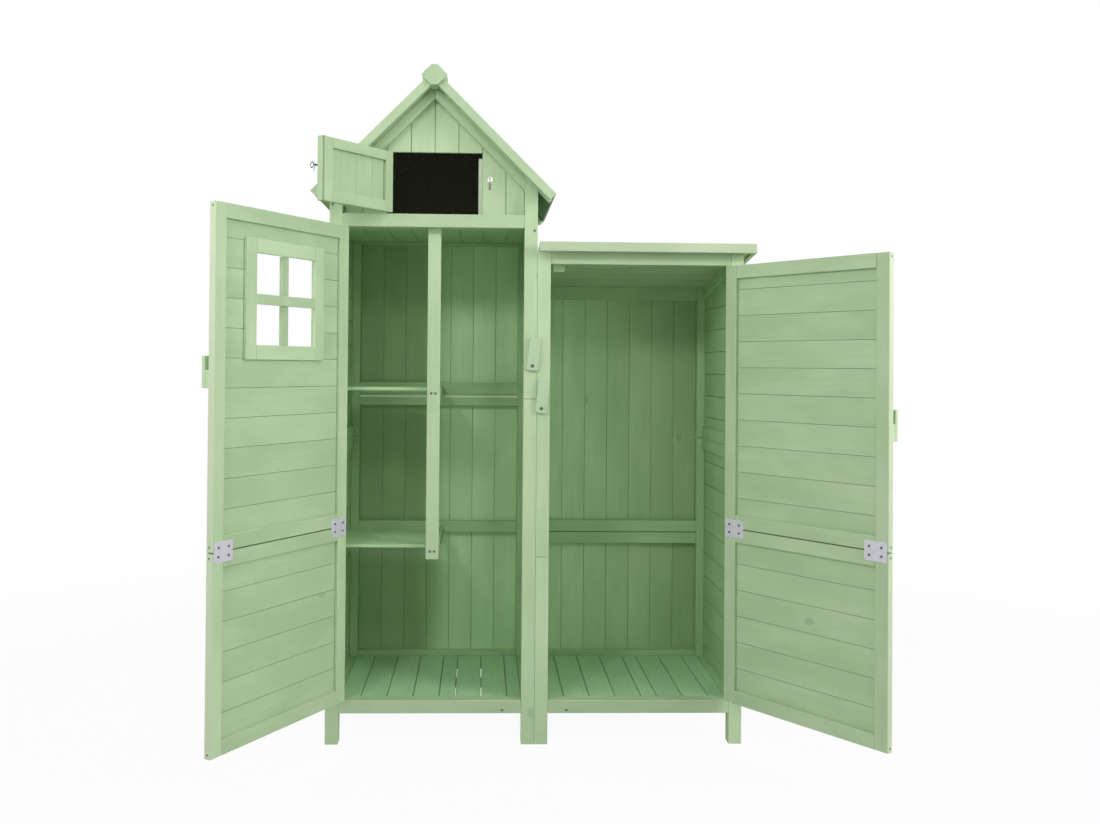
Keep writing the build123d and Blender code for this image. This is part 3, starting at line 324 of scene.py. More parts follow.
class SlopeGrain(Grain):
    """Grain down both slopes of the gable roof."""

    def __init__(self):
        super().__init__((sin(GABLE_SLOPE), 0, -cos(GABLE_SLOPE)), (0, 1, 0), (TALL_MIDDLE, 0, 0))

    def place(self, finish):
        x, y, z = finish.place()
        reach = abs(x - TALL_MIDDLE)
        return [(reach - z) * sin(GABLE_SLOPE), y, (reach + z) * sin(GABLE_SLOPE)]


def door_axes(angle, toward):
    """Level direction along an open door from its hinges, and the way that its inner face looks."""
    turn = radians(angle)
    return Vector((toward * cos(turn), -sin(turn), 0)), Vector((toward * sin(turn), cos(turn), 0))


UP = Vector((0, 0, 1))
tall_hinge = Vector((*hinges["tall_door_hinge"].xy, 0))
short_hinge = Vector((*hinges["short_door_hinge"].xy, 0))
loft_hinge = Vector((*hinges["loft_door_hinge"].xy, 0))
tall_along, tall_inward = door_axes(TALL_DOOR_OPEN, 1)
short_along, short_inward = door_axes(SHORT_DOOR_OPEN, -1)
loft_along, loft_inward = door_axes(LOFT_DOOR_OPEN, 1)
door_middle = LEAF_START + DOOR_WIDTH / 2

upright = Grain((0, 0, 1), (1, 0, 0))
level = Grain((1, 0, 0), (0, 0, 1))
deep = Grain((0, 1, 0), (0, 0, 1))
flat_deep = Grain((0, 1, 0), (1, 0, 0))
slopes = SlopeGrain()
window_frame = FrameGrain(
    tall_along, UP, tall_hinge,
    [(-1.0, door_middle - WINDOW_HALF_WIDTH), (door_middle + WINDOW_HALF_WIDTH, 1.0)],
)
window_cross = FrameGrain(
    tall_along, UP, tall_hinge,
    [(door_middle - WINDOW_BAR_WIDTH / 2, door_middle + WINDOW_BAR_WIDTH / 2)],
)
loft_frame = FrameGrain(
    loft_along, UP, loft_hinge,
    [(-1.0, LEAF_START + LOFT_STILE), (LEAF_START + LOFT_WIDTH - LOFT_FREE_STILE, 1.0)],
)


def in_loft(finish, depth):
    """1 on the faces that close the loft in, to a depth into its boards, else 0; this is where the loft's
    painted shade and painted glow go.
    """
    x, y, z = finish.place()
    reach = abs(x - TALL_MIDDLE)
    roof = ROOF_LINE + depth * ALONG_SLOPE
    return (
        reach.ramp(LOFT_HALF + depth + 1.5 * MM, LOFT_HALF + depth + 0.5 * MM)
        * z.ramp(LOFT_FLOOR - depth - 1.4 * MM, LOFT_FLOOR - depth - 0.8 * MM)
        * y.ramp(LOFT_FRONT - depth - 0.5 * MM, LOFT_FRONT - depth)
        * y.ramp(WALL_BACK + depth + 0.6 * MM, WALL_BACK + depth + 0.2 * MM)
        * (reach + z).ramp(roof + 2 * MM, roof + MM)
    )


def in_bays(finish, depth):
    """1 on the faces that close the two bays in, to a depth into their boards, else 0."""
    x, y = finish.place()[:2]
    return (
        x.ramp(WALL_LEFT - depth - 1.5 * MM, WALL_LEFT - depth - 0.5 * MM)
        * x.ramp(WALL_RIGHT + depth + 1.5 * MM, WALL_RIGHT + depth + 0.5 * MM)
        * y.ramp(WALL_BACK + depth + 1.5 * MM, WALL_BACK + depth + 0.5 * MM)
    )


class Figure:
    """Figure of planed softwood, which changes from board to board, and the ways that its faces look."""

    def __init__(self, finish, grain):
        self.finish = finish
        along, across, through = grain.place(finish)
        self.across = across
        self.board = finish.add("ShaderNodeNewGeometry", None, None, "Random Per Island")
        shift = self.board * BOARD_SHIFT
        length, width = FIBRES
        fibre_place = finish.vector(along * length + shift, across * width + shift, through * width)
        length, width = STREAKS
        streak_place = finish.vector(along * length + shift, across * width + shift, through * width)
        length, width = BANDS
        band_place = finish.vector(along * length + shift, across * width, through * width + shift)
        length, width = BLOTCHES
        blotch_place = finish.vector(along * length, across * width + shift, through * width + shift)
        length, width = KNOTS
        knot_place = finish.vector(along * length + shift, across * width + shift, through * width)
        self.fibre = finish.noise(fibre_place, 1.0, 2.0, 0.6)
        self.streak = finish.noise(streak_place, 1.0, 3.0, 0.6)
        bands = finish.noise(band_place, 1.0, 2.0, 0.5, 0.35) * RINGS_IN_BAND
        self.rings = finish.add("ShaderNodeMath", {"operation": "PINGPONG"}, {0: bands, 1: 0.5}) * 2.0
        self.blotch = finish.noise(blotch_place, 1.0, 3.0, 0.55)
        knot = finish.add("ShaderNodeTexVoronoi", None, {"Vector": knot_place, "Scale": 1.0}, "Distance")
        self.heart = knot.ramp(0.045, 0.018)
        self.rim = knot.ramp(0.056, 0.042) * knot.ramp(0.030, 0.042)
        self.halo = knot.ramp(0.20, 0.05)
        self.ends, self.flanks, faces = [abs(part) for part in grain.facing(finish)]
        squares = [part * part for part in (self.ends, self.flanks, faces)]
        self.edge = sum(part * part for part in squares).ramp(0.97, 0.72)

    def colour(self, stain, light, deep, thin):
        """Stain, deeper in fibres, rings, knots and ends, thinner in blotches and on some boards."""
        finish = self.finish
        colour = finish.blend(self.blotch.ramp(0.36, 0.68), deep, light)
        colour = finish.blend(0.55, colour, stain)
        colour = finish.blend(self.streak.ramp(0.42, 0.72) * 0.20, colour, deep)
        colour = finish.blend(self.fibre.ramp(0.50, 0.75) * 0.10, colour, deep)
        colour = finish.blend(self.rings.ramp(0.70, 1.0) * (0.10 + self.halo * 0.25), colour, deep)
        colour = finish.blend(self.board * 0.28, colour, light)
        colour = finish.blend(self.blotch.ramp(0.60, 0.80) * thin, colour, THIN_STAIN)
        colour = finish.blend(self.heart * 0.35, colour, KNOT_HEART)
        colour = finish.blend(self.rim * 0.25, colour, KNOT_RIM)
        return finish.blend(self.ends.ramp(0.8, 0.95) * 0.22, colour, deep)

    def fade(self, start, stretch):
        """Ramp across the piece over a stretch that is measured from a place."""
        return self.across.ramp(start + stretch[0], start + stretch[1])

    def normal(self):
        """Fine relief of the planed face."""
        height = self.streak * 0.5 + self.fibre * 0.35 + self.rings * 0.3 + self.heart * 0.5
        inputs = {"Strength": 0.22, "Distance": WOOD_RELIEF, "Height": height}
        return self.finish.add("ShaderNodeBump", None, inputs)


def stained_wood(
    name, grain, stain=SAGE, light=SAGE_PALE, deep=SAGE_DEEP, thin=0.22, groove=0.0, worn=1.0, painted_flank_shade=0.0,
    free_edge=0.0, edge_shadow_line=0.0, eave=False, seam=0.0, seam_colour=GROOVE, inside=None, painted_light_toward_partition=False,
    loft=False, depth=0.0,
):
    """Planed softwood under a thin matt stain, with dark or worn edges, and painted shade, painted light, a
    painted highlight and a painted glow where its place or faces call for them.
    """
    finish = Finish(bpy.data.materials.new(name))
    figure = Figure(finish, grain)
    colour = figure.colour(stain, light, deep, thin)
    if free_edge:
        colour = finish.blend(figure.fade(free_edge, FREE_EDGE_FADE) * 0.5, colour, EDGE_GRAIN)
    if groove:
        colour = finish.blend(figure.edge * groove, colour, GROOVE)
    else:
        colour = finish.blend(figure.edge * (0.2 + figure.blotch * 0.4) * worn, colour, WORN_EDGE)
    # Painted shade: the sides of the piece are darkened
    if painted_flank_shade:
        colour = finish.blend(figure.flanks.ramp(0.8, 0.95) * painted_flank_shade, colour, GROOVE)
    # Painted shadow line: a dark line about 1 to 7 mm in from the door's free edge, where a gap's shade falls
    if edge_shadow_line:
        line = figure.fade(edge_shadow_line, EDGE_SHADOW_LINE_IN) * figure.fade(edge_shadow_line, EDGE_SHADOW_LINE_OUT)
        colour = finish.blend(line * 0.8, colour, GROOVE)
    # Painted shade: downward faces of the roof boards right of the tall bay are darkened
    if eave:
        under = grain.facing(finish)[1].ramp(-0.4, -0.6) * finish.place()[0].ramp(*EAVE_FADE)
        colour = finish.tint(under, colour, EAVE_PAINTED_SHADE)
    # A line at a seam's height: a dark joint line, or, with the pale colour, a painted highlight
    if seam:
        line = abs(finish.place()[2] - seam).ramp(*SEAM_FADE)
        colour = finish.blend(line * 0.95, colour, seam_colour)
    # Painted shade: inside the bays the colour is multiplied deeper and greener
    if inside:
        colour = finish.tint(in_bays(finish, depth), colour, inside)
    # Painted shade: back boards inside the bays darken towards the tall bay's left wall and the short bay's
    # right wall
    if painted_light_toward_partition:
        x = finish.place()[0]
        outer_painted_shade = 1 - x.ramp(*LEFT_BACK_FADE) * x.ramp(*RIGHT_BACK_FADE)
        colour = finish.tint(outer_painted_shade * in_bays(finish, depth), colour, OUTER_PAINTED_SHADE)
    glow = BLACK
    # Painted shade: faces inside the loft are blended almost to near black, with a faint painted glow on them
    if loft:
        shaded = in_loft(finish, depth)
        colour = finish.blend(shaded * 0.97, colour, LOFT_PAINTED_SHADE)
        glow = finish.blend(shaded, BLACK, LOFT_PAINTED_GLOW)
    return finish.surface(
        Base_Color=colour, Roughness=0.56 + figure.streak * 0.12 + figure.fibre * 0.05,
        Normal=figure.normal(), Specular_IOR_Level=0.28,
        Emission_Color=glow, Emission_Strength=1.0 if loft else 0.0,
    )


def plated(name, colour, dull, metallic, rough, grit=90.0):
    """Plated steel: soft clouds in the plating, fine rolling lines, duller in the clouds."""
    finish = Finish(bpy.data.materials.new(name))
    x, y, z = finish.place()
    cloud = finish.noise(finish.vector(x, y, z), grit, 3.0, 0.6)
    line_place = finish.vector(x * ROLLING[0], y * ROLLING[0], z * ROLLING[1])
    lines = finish.noise(line_place, 1.0, 2.0, 0.5)
    shade = finish.blend(cloud.ramp(0.35, 0.75), colour, dull)
    shade = finish.blend(lines.ramp(0.55, 0.8) * 0.15, shade, dull)
    relief = {"Strength": 0.10, "Distance": PLATING_RELIEF, "Height": cloud + lines * 0.4}
    return finish.surface(
        Base_Color=shade, Roughness=rough + cloud * 0.14 + lines * 0.05, Metallic=metallic,
        Normal=finish.add("ShaderNodeBump", None, relief),
    )


FACE = {"stain": SAGE_FACE, "light": SAGE_FACE_PALE, "deep": SAGE_FACE_DEEP}
FREE_EDGE = LEAF_START + DOOR_WIDTH
upright_wood = stained_wood("upright_wood", upright, **FACE)
cross_wood = stained_wood("cross_wood", level)
pent_wood = stained_wood("pent_wood", level, groove=0.3)
deep_wood = stained_wood("deep_wood", deep)
wall_wood = stained_wood("wall_wood", deep, groove=0.45, inside=INSIDE_PAINTED_SHADE, loft=True)
# Back boards: painted light inside the bays, with painted shade towards the outer walls
back_wood = stained_wood("back_wood", upright, worn=0.0, inside=BACK_PAINTED_LIGHT, painted_light_toward_partition=True)
back_tongue_wood = stained_wood(
    "back_tongue_wood", upright, SAGE_DEEP, SAGE, GROOVE, inside=INSIDE_PAINTED_SHADE, depth=BACK_TONGUE_DEPTH,
)
back_post_wood = stained_wood("back_post_wood", upright, inside=INSIDE_PAINTED_SHADE)
side_rail_wood = stained_wood("side_rail_wood", deep, inside=INSIDE_PAINTED_SHADE, loft=True)
cross_rail_wood = stained_wood("cross_rail_wood", level, seam=SHORT_BACK_SEAM, inside=INSIDE_PAINTED_SHADE)
shelf_wood = stained_wood("shelf_wood", level, **FACE, groove=0.3, inside=INSIDE_PAINTED_SHADE)
# Floor boards: painted cool light in their stain
floor_wood = stained_wood("floor_wood", flat_deep, SAGE_PAINTED_SKYLIGHT, groove=0.4, inside=INSIDE_PAINTED_SHADE)
loft_floor_wood = stained_wood("loft_floor_wood", deep, inside=INSIDE_PAINTED_SHADE, loft=True)
# Painted highlight: a pale line along the seam between the tall back's rails
seam_rail_wood = stained_wood(
    "seam_rail_wood", level, seam=TALL_BACK_SEAM, seam_colour=SEAM_PAINTED_HIGHLIGHT, inside=INSIDE_PAINTED_SHADE,
)
fascia_wood = stained_wood("fascia_wood", level, FASCIA, FASCIA_PALE, thin=0.35)
button_wood = stained_wood("button_wood", upright, BUTTON, BUTTON_PALE, SAGE)
# Painted light: the stop's stain is paler than the rest to make up for its shade
stop_wood = stained_wood("stop_wood", upright, STOP, STOP_PALE, SAGE_PALE)
tongue_wood = stained_wood(
    "tongue_wood", deep, GROOVE, SAGE_DEEP, TONGUE_DARK, thin=0.0, loft=True, depth=TONGUE_DEPTH,
)
gable_wood = stained_wood("gable_wood", upright, **FACE, groove=0.45, loft=True)
roof_wood = stained_wood("roof_wood", deep, groove=0.3, loft=True, eave=True)
slope_wood = stained_wood("slope_wood", slopes, loft=True)
tall_board_wood = stained_wood("tall_board_wood", Grain(tall_along, UP, tall_hinge), groove=0.85)
tall_door_wood = stained_wood("tall_door_wood", Grain(tall_along, UP, tall_hinge), seam=DOOR_SEAM)
tall_stile_wood = stained_wood(
    "tall_stile_wood", Grain(UP, tall_along, tall_hinge), **FACE, free_edge=FREE_EDGE, seam=DOOR_SEAM,
)
short_board_wood = stained_wood("short_board_wood", Grain(short_along, UP, short_hinge), groove=0.85)
short_door_wood = stained_wood("short_door_wood", Grain(short_along, UP, short_hinge), seam=DOOR_SEAM)
short_stile_wood = stained_wood(
    "short_stile_wood", Grain(UP, short_along, short_hinge), free_edge=FREE_EDGE, seam=DOOR_SEAM,
)
loft_door_wood = stained_wood("loft_door_wood", Grain(UP, loft_along, loft_hinge), groove=0.15)
window_trim_wood = stained_wood("window_trim_wood", window_frame, **FACE)
# Window bars: painted shade on their sides
window_bar_wood = stained_wood("window_bar_wood", window_cross, painted_flank_shade=0.6)
loft_frame_wood = stained_wood("loft_frame_wood", loft_frame, edge_shadow_line=LEAF_START + LOFT_WIDTH)
plate_zinc = plated("plate_zinc", ZINC, ZINC_DULL, 0.2, 0.42)
hinge_zinc = plated("hinge_zinc", ZINC_DULL, HINGE_DULL, 0.4, 0.4)
staple_nickel = plated("staple_nickel", NICKEL, NICKEL_DARK, 1.0, 0.18, 160.0)
staple_brass = plated("staple_brass", BRASSED, STEEL, 0.6, 0.4, 160.0)
hasp_steel = plated("hasp_steel", BLUED, BLUED_DARK, 0.9, 0.3, 160.0)
screw_steel = plated("screw_steel", STEEL, STEEL_DARK, 0.7, 0.36, 400.0)
bright_screw_steel = plated("bright_screw_steel", NICKEL, STEEL, 0.8, 0.28, 400.0)

# Finish and edge easing of each piece; the easing is the radius on its edges, in millimetres
DRESS = [
    (upright_wood, 1.6, [
        "tall_front_left_post", "tall_front_right_post", "short_front_left_post", "short_front_right_post",
        "divider_post",
    ]),
    (back_post_wood, 1.6, ["tall_back_posts", "short_back_posts"]),
    (tall_stile_wood, 1.6, ["tall_door_stiles", "tall_door_keeper"]),
    (short_stile_wood, 1.6, ["short_door_stiles", "short_door_keeper"]),
    (button_wood, 1.4, ["tall_turn_button", "short_turn_button"]),
    (back_wood, 0.5, ["tall_back_boards", "short_back_boards"]),
    (loft_door_wood, 0.5, ["loft_door_boards"]),
    (gable_wood, 0.5, ["gable_front_boards", "gable_back_boards"]),
    (stop_wood, 0.8, ["loft_door_stop"]),
    (cross_wood, 1.4, ["tall_front_rails", "short_front_rails"]),
    (cross_rail_wood, 1.4, ["short_back_rails", "floor_bearers"]),
    (seam_rail_wood, 1.4, ["tall_back_rails"]),
    (fascia_wood, 1.4, ["flat_roof_edges"]),
    (shelf_wood, 0.5, ["upper_shelf", "lower_shelf"]),
    (pent_wood, 0.5, ["flat_roof_boards"]),
    (wall_wood, 0.5, ["tall_left_boards", "partition_boards", "short_right_boards"]),
    (loft_floor_wood, 0.5, ["loft_floor_boards"]),
    (floor_wood, 0.5, ["tall_floor_boards", "short_floor_boards"]),
    (side_rail_wood, 1.2, ["tall_side_rails", "short_side_rails", "shelf_bearers"]),
    (roof_wood, 1.2, ["roof_left_boards", "roof_right_boards"]),
    (deep_wood, 1.2, ["ridge_bar"]),
    (slope_wood, 1.2, ["gable_rakes", "roof_left_battens", "roof_right_battens"]),
    (tall_board_wood, 0.5, ["tall_door_boards"]),
    (tall_door_wood, 1.2, ["tall_door_rails"]),
    (window_trim_wood, 1.5, ["window_trim"]),
    (window_bar_wood, 1.5, ["window_bars"]),
    (short_board_wood, 0.5, ["short_door_boards"]),
    (short_door_wood, 1.2, ["short_door_rails"]),
    (loft_frame_wood, 1.2, ["loft_door_frame"]),
    (plate_zinc, 0.25, ["tall_door_plates", "short_door_plates"]),
    (hinge_zinc, 0.25, [
        "hinge_post_leaves", "hinge_pins", "tall_door_hinge_leaves", "short_door_hinge_leaves",
        "loft_door_hardware",
    ]),
    (hasp_steel, 0.2, ["hasp_strap"]),
    (staple_nickel, 0.2, ["loft_staple"]),
    (screw_steel, 0.2, ["carcass_screws"]),
]


def ease_edges(piece, radius):
    """Close the solid's faces up and round its sharp edges."""
    weld = piece.modifiers.new("closed_faces", "WELD")
    weld.merge_threshold = SAME_POINT
    flat = piece.modifiers.new("flat_faces", "DECIMATE")
    flat.decimate_type = "DISSOLVE"
    flat.angle_limit = radians(0.5)
    round_over = piece.modifiers.new("eased_edges", "BEVEL")
    round_over.width = radius * MM
    round_over.segments = 2
    round_over.limit_method = "ANGLE"
    round_over.angle_limit = radians(30)
    round_over.harden_normals = True


for material, easing, names in DRESS:
    for name in names:
        piece = nodes[name]
        piece.data.materials.clear()
        piece.data.materials.append(material)
        ease_edges(piece, easing)


def separate_solids(name):
    """Corner points of each separate solid in a node."""
    form = bmesh.new()
    form.from_mesh(nodes[name].data)
    bmesh.ops.remove_doubles(form, verts=form.verts, dist=SAME_POINT)
    seen, groups = set(), []
    for start in form.verts:
        if start in seen:
            continue
        seen.add(start)
        waiting, group = [start], []
        while waiting:
            vert = waiting.pop()
            group.append(vert.co.copy())
            others = [edge.other_vert(vert) for edge in vert.link_edges]
            fresh = [other for other in others if other not in seen]
            seen.update(fresh)
            waiting.extend(fresh)
        groups.append(group)
    form.free()
    return groups


def skin(form, rings, material=0):
    """Faces over closed rings of points, with both ends closed."""
    loops = [[form.verts.new(point) for point in ring] for ring in rings]
    count = len(loops[0])
    faces = [form.faces.new(loops[0][::-1]), form.faces.new(loops[-1])]
    for near, far in zip(loops, loops[1:]):
        for i in range(count):
            j = (i + 1) % count
            faces.append(form.faces.new((near[i], near[j], far[j], far[i])))
    for face in faces:
        face.material_index = material


def place_piece(name, form, materials, body):
    """Finished piece from its form, riding on a body."""
    bmesh.ops.recalc_face_normals(form, faces=form.faces)
    mesh = bpy.data.meshes.new(name)
    form.to_mesh(mesh)
    form.free()
    for material in materials:
        mesh.materials.append(material)
    piece = bpy.data.objects.new(name, mesh)
    bpy.context.scene.collection.objects.link(piece)
    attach(piece, body)
    return piece


def close_joints(name, body, stack, run, open_at=(), material=tongue_wood):
    """Tongues in the joints of a row of boards: eased strips let into the edges of each two neighbours."""
    stack, run = Vector(stack), Vector(run)
    through = stack.cross(run)
    solids = separate_solids(name)
    boards = [[(p.dot(stack), p.dot(run), p.dot(through)) for p in points] for points in solids]
    form = bmesh.new()
    for first in boards:
        for second in boards:
            low, high = max(p[0] for p in first), min(p[0] for p in second)
            left_open = any(abs(low - place) < GAP_REACH for place in open_at)
            if left_open or not JOINT_LEAST < high - low < JOINT_MOST:
                continue
            lower = [p[1] for p in first if abs(p[0] - low) < EDGE_REACH]
            upper = [p[1] for p in second if abs(p[0] - high) < EDGE_REACH]
            near, far = max(min(lower), min(upper)), min(max(lower), max(upper))
            front = max(min(p[2] for p in first), min(p[2] for p in second))
            back = min(max(p[2] for p in first), max(p[2] for p in second))
            if far - near < TONGUE_LEAST or back - front < BOARD_LEAST:
                continue
            middle, half = (front + back) / 2, (back - front) * TONGUE_SHARE
            rim = [(low - TONGUE_LET_IN, 0.6), (low - TONGUE_LET_IN / 2, 1)]
            rim += [(high + TONGUE_LET_IN / 2, 1), (high + TONGUE_LET_IN, 0.6)]
            outline = [(s, middle + half * share) for s, share in rim]
            outline += [(s, middle - half * share) for s, share in reversed(rim)]
            skin(form, [[stack * s + run * r + through * t for s, t in outline] for r in (near, far)])
    place_piece(name.replace("_boards", "") + "_tongues", form, [material], body)


def cross_reach(angle, length, half_width):
    """Reach of a plus-shaped outline at an angle from its middle."""
    turn = angle % (pi / 2)
    turn = min(turn, pi / 2 - turn)
    return min(length / cos(turn), half_width / max(sin(turn), 0.0001))


def screw(form, seat, facing, radius, height, shank=0.0, material=0):
    """Pan-head screw with a cross recess, seated on a face; a shank goes into the wood behind it."""
    facing = Vector(facing)
    side = facing.orthogonal().normalized()
    other = facing.cross(side)
    angles = [2 * pi * i / 24 for i in range(24)]

    def ring(rise, reach):
        return [seat + facing * rise + (side * cos(a) + other * sin(a)) * reach(a) for a in angles]

    rows = [(0, 1.0), (0.3, 1.0), (0.62, 0.93), (0.86, 0.8)]
    rings = [ring(height * share, lambda a, r=part: radius * r) for share, part in rows]
    if shank:
        ends = [(shank, 0.4), (0.0, 0.45)]
        rings[:0] = [ring(-depth, lambda a, r=part: radius * r) for depth, part in ends]
    rings.append(ring(height, lambda a: cross_reach(a, radius * 0.62, radius * 0.17)))
    rings.append(ring(height * 0.2, lambda a: cross_reach(a, radius * 0.5, radius * 0.11)))
    skin(form, rings, material)


def carcass_screw_heads():
    """Screws that show on the carcass, and the pivots of the turn buttons."""
    form = bmesh.new()
    for points in separate_solids("carcass_screws"):
        low = Vector([min(p[i] for p in points) for i in range(3)])
        high = Vector([max(p[i] for p in points) for i in range(3)])
        middle = (low + high) / 2
        # A head that is thin from left to right faces sideways, and a deep one is a button's pivot
        if high.x - low.x < SIDE_HEAD_MOST:
            seat = Vector((low.x, middle.y, middle.z))
            screw(form, seat, (1, 0, 0), (high.y - low.y) / 2, high.x - low.x, 0, 1)
            continue
        pivot = high.y - low.y > PIVOT_LEAST
        height = 2 * SCREW_HEIGHT if pivot else SCREW_HEIGHT
        seat = Vector((middle.x, low.y + height, middle.z))
        screw(form, seat, (0, -1, 0), (high.x - low.x) / 2, height, high.y - seat.y if pivot else 0)
    piece = place_piece(
        "carcass_screw_heads", form, [screw_steel, bright_screw_steel], "carcass",
    )
    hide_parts("carcass_screws")


def joining_plates(door, hinge, along, inward):
    """Plates over a door's seam: rounded corners, eased rims, four screws each."""
    form = bmesh.new()
    half_width, half_height = PLATE_WIDTH / 2, PLATE_HEIGHT / 2
    corner, easing = 2.5 * MM, 0.35 * MM

    def outline(seat, inset):
        points = []
        for i in range(24):
            angle = 2 * pi * (i + 0.5) / 24
            x = (half_width - corner) * (1 if cos(angle) > 0 else -1) + (corner - inset) * cos(angle)
            z = (half_height - corner) * (1 if sin(angle) > 0 else -1) + (corner - inset) * sin(angle)
            points.append(seat + along * x + UP * z)
        return points

    for middle in (PLATE_INSET + half_width, DOOR_WIDTH - PLATE_INSET - half_width):
        seat = hinge + along * (LEAF_START + middle) + inward * (HINGE_STAND + DOOR_THICKNESS)
        seat += UP * DOOR_SEAM
        top = inward * PLATE_THICKNESS
        skin(form, [outline(seat, 0), outline(seat + top - inward * easing, 0), outline(seat + top, easing)])
        for x in (PLATE_SCREW_INSET - half_width, half_width - PLATE_SCREW_INSET):
            for z in (PLATE_SCREW_INSET - half_height, half_height - PLATE_SCREW_INSET):
                screw(form, seat + top + along * x + UP * z, inward, SCREW_RADIUS, SCREW_HEIGHT, 0, 1)
    piece = place_piece(f"{door}_joining_plates", form, [plate_zinc, screw_steel], door)
    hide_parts(f"{door}_plates")


def sweep(form, path, flat, sizes, material=0):
    """Rounded bar along a path, with half its height and half its thickness along flat at each point."""
    rings = []
    for i, (spot, (tall, thin)) in enumerate(zip(path, sizes)):
        way = path[min(i + 1, len(path) - 1)] - path[max(i - 1, 0)]
        side = way.cross(flat).normalized()
        angles = [2 * pi * k / 12 for k in range(12)]
        rings.append([spot + side * tall * cos(a) + flat * thin * sin(a) for a in angles])
    skin(form, rings, material)


def hasp_arm():
    """Hasp: knuckle on its pin, slim rising arm, round eye at the staple's reach and a thin finger tail."""
    turn = radians(HASP_OPEN)
    out = loft_along * cos(turn) - loft_inward * sin(turn)
    flat = UP.cross(out)
    axis = hinges["hasp_hinge"]
    stand = flat * 1.1 * MM
    form = bmesh.new()

    def spot(along, rise):
        """Place on the hasp's flat, from its pin, in millimetres."""
        return axis + out * along * MM + stand + UP * rise * MM

    def bar(rows, half_thickness):
        """Bar through rows of a reach, a rise and a half height, in millimetres."""
        sizes = [(half_height * MM, half_thickness * MM) for reach, rise, half_height in rows]
        sweep(form, [spot(reach, rise) for reach, rise, half_height in rows], flat, sizes)

    knuckle = [(-8.0, 1.4), (-7.6, 1.7), (7.6, 1.7), (8.0, 1.4)]
    sizes = [(radius * MM, radius * MM) for rise, radius in knuckle]
    sweep(form, [axis + UP * rise * MM for rise, radius in knuckle], flat, sizes)
    arm = [(0.6, -5.0, 2.4), (5, -4.4, 2.3), (11, -2.6, 2.2)]
    arm += [(16, -0.8, 2.1), (20, 0.2, 2.2), (22.4, 0.4, 2.0)]
    tail = [(13, -2.5, 1.3), (17, -6.5, 1.2), (20, -11, 1.1), (21.5, -15, 1.0), (21.8, -17, 0.6)]
    bar(arm, 0.65)
    bar(tail, 0.55)
    eye_reach, eye_radius, steps = 29.5, 6.9, 20
    turns = [2 * pi * i / steps for i in range(steps + 1)]
    eye = [spot(eye_reach - eye_radius * cos(a), eye_radius * sin(a)) for a in turns]
    sweep(form, eye, flat, [(1.4 * MM, 0.7 * MM)] * len(eye))
    piece = place_piece("hasp_arm", form, [hasp_steel], "hasp")
    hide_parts("hasp_strap")


def staple_on_plate():
    """Staple beside the loft opening: round plate with a tongue, bright rose, wire loop, two screws below."""
    form = bmesh.new()
    out = Vector((0, -1, 0))
    across = Vector((1, 0, 0))
    turns = [2 * pi * i / 24 for i in range(24)]

    def disc(rows):
        """Round plate through rows of a rise and a radius, in millimetres."""
        rings = []
        for rise, radius in rows:
            middle = STAPLE_AT + out * rise * MM
            rings.append([middle + (across * cos(a) + UP * sin(a)) * radius * MM for a in turns])
        skin(form, rings)

    def tongue(rise, inset):
        """Outline of the plate's tongue at a rise, drawn in a little towards its middle."""
        points = [(-3.4, -5), (-3.4, -27), (-2.2, -28.6), (2.2, -28.6), (3.4, -27), (3.4, -5)]
        middle = STAPLE_AT + out * rise * MM
        return [middle + across * x * (1 - inset) * MM + UP * (z + inset * 4) * MM for x, z in points]

    skin(form, [tongue(0, 0), tongue(0.45, 0), tongue(0.7, 0.08)], 1)
    disc([(0, 7.4), (0.6, 7.4), (0.9, 7.0)])
    disc([(0.7, 4.3), (1.3, 4.3), (1.9, 3.9), (2.3, 3.1), (2.45, 2.0)])
    loop_foot, loop_rise, loop_half, wire, steps = 0.5, 7.1, 3.6, 1.1, 14
    bend = [pi * i / steps for i in range(steps + 1)]
    loop = [
        STAPLE_AT + out * (loop_foot + loop_rise * sin(a)) * MM + UP * loop_half * cos(a) * MM
        for a in bend
    ]
    sweep(form, loop, across, [(wire * MM, wire * MM)] * len(loop))
    for drop in (14.5, 23.0):
        screw(form, STAPLE_AT + out * 0.7 * MM - UP * drop * MM, out, 2.5 * MM, 1.0 * MM, 0, 2)
    piece = place_piece(
        "staple_on_plate", form, [staple_nickel, staple_brass, screw_steel], "carcass",
    )
    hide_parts("loft_staple")


def edge_screws(door, hinge, along, inward, head):
    """Screws through the free stile into the ends of the door's rails."""
    form = bmesh.new()
    from_end, from_seam, radius, rise = 10 * MM, 12 * MM, 2.6 * MM, 0.5 * MM
    edge = hinge + along * FREE_EDGE + inward * (HINGE_STAND + DOOR_THICKNESS / 2)
    for height in (DOOR_FOOT + from_end, DOOR_SEAM - from_seam, DOOR_SEAM + from_seam, head - from_end):
        screw(form, edge + UP * height, along, radius, rise)
    place_piece(f"{door}_edge_screws", form, [screw_steel], door)


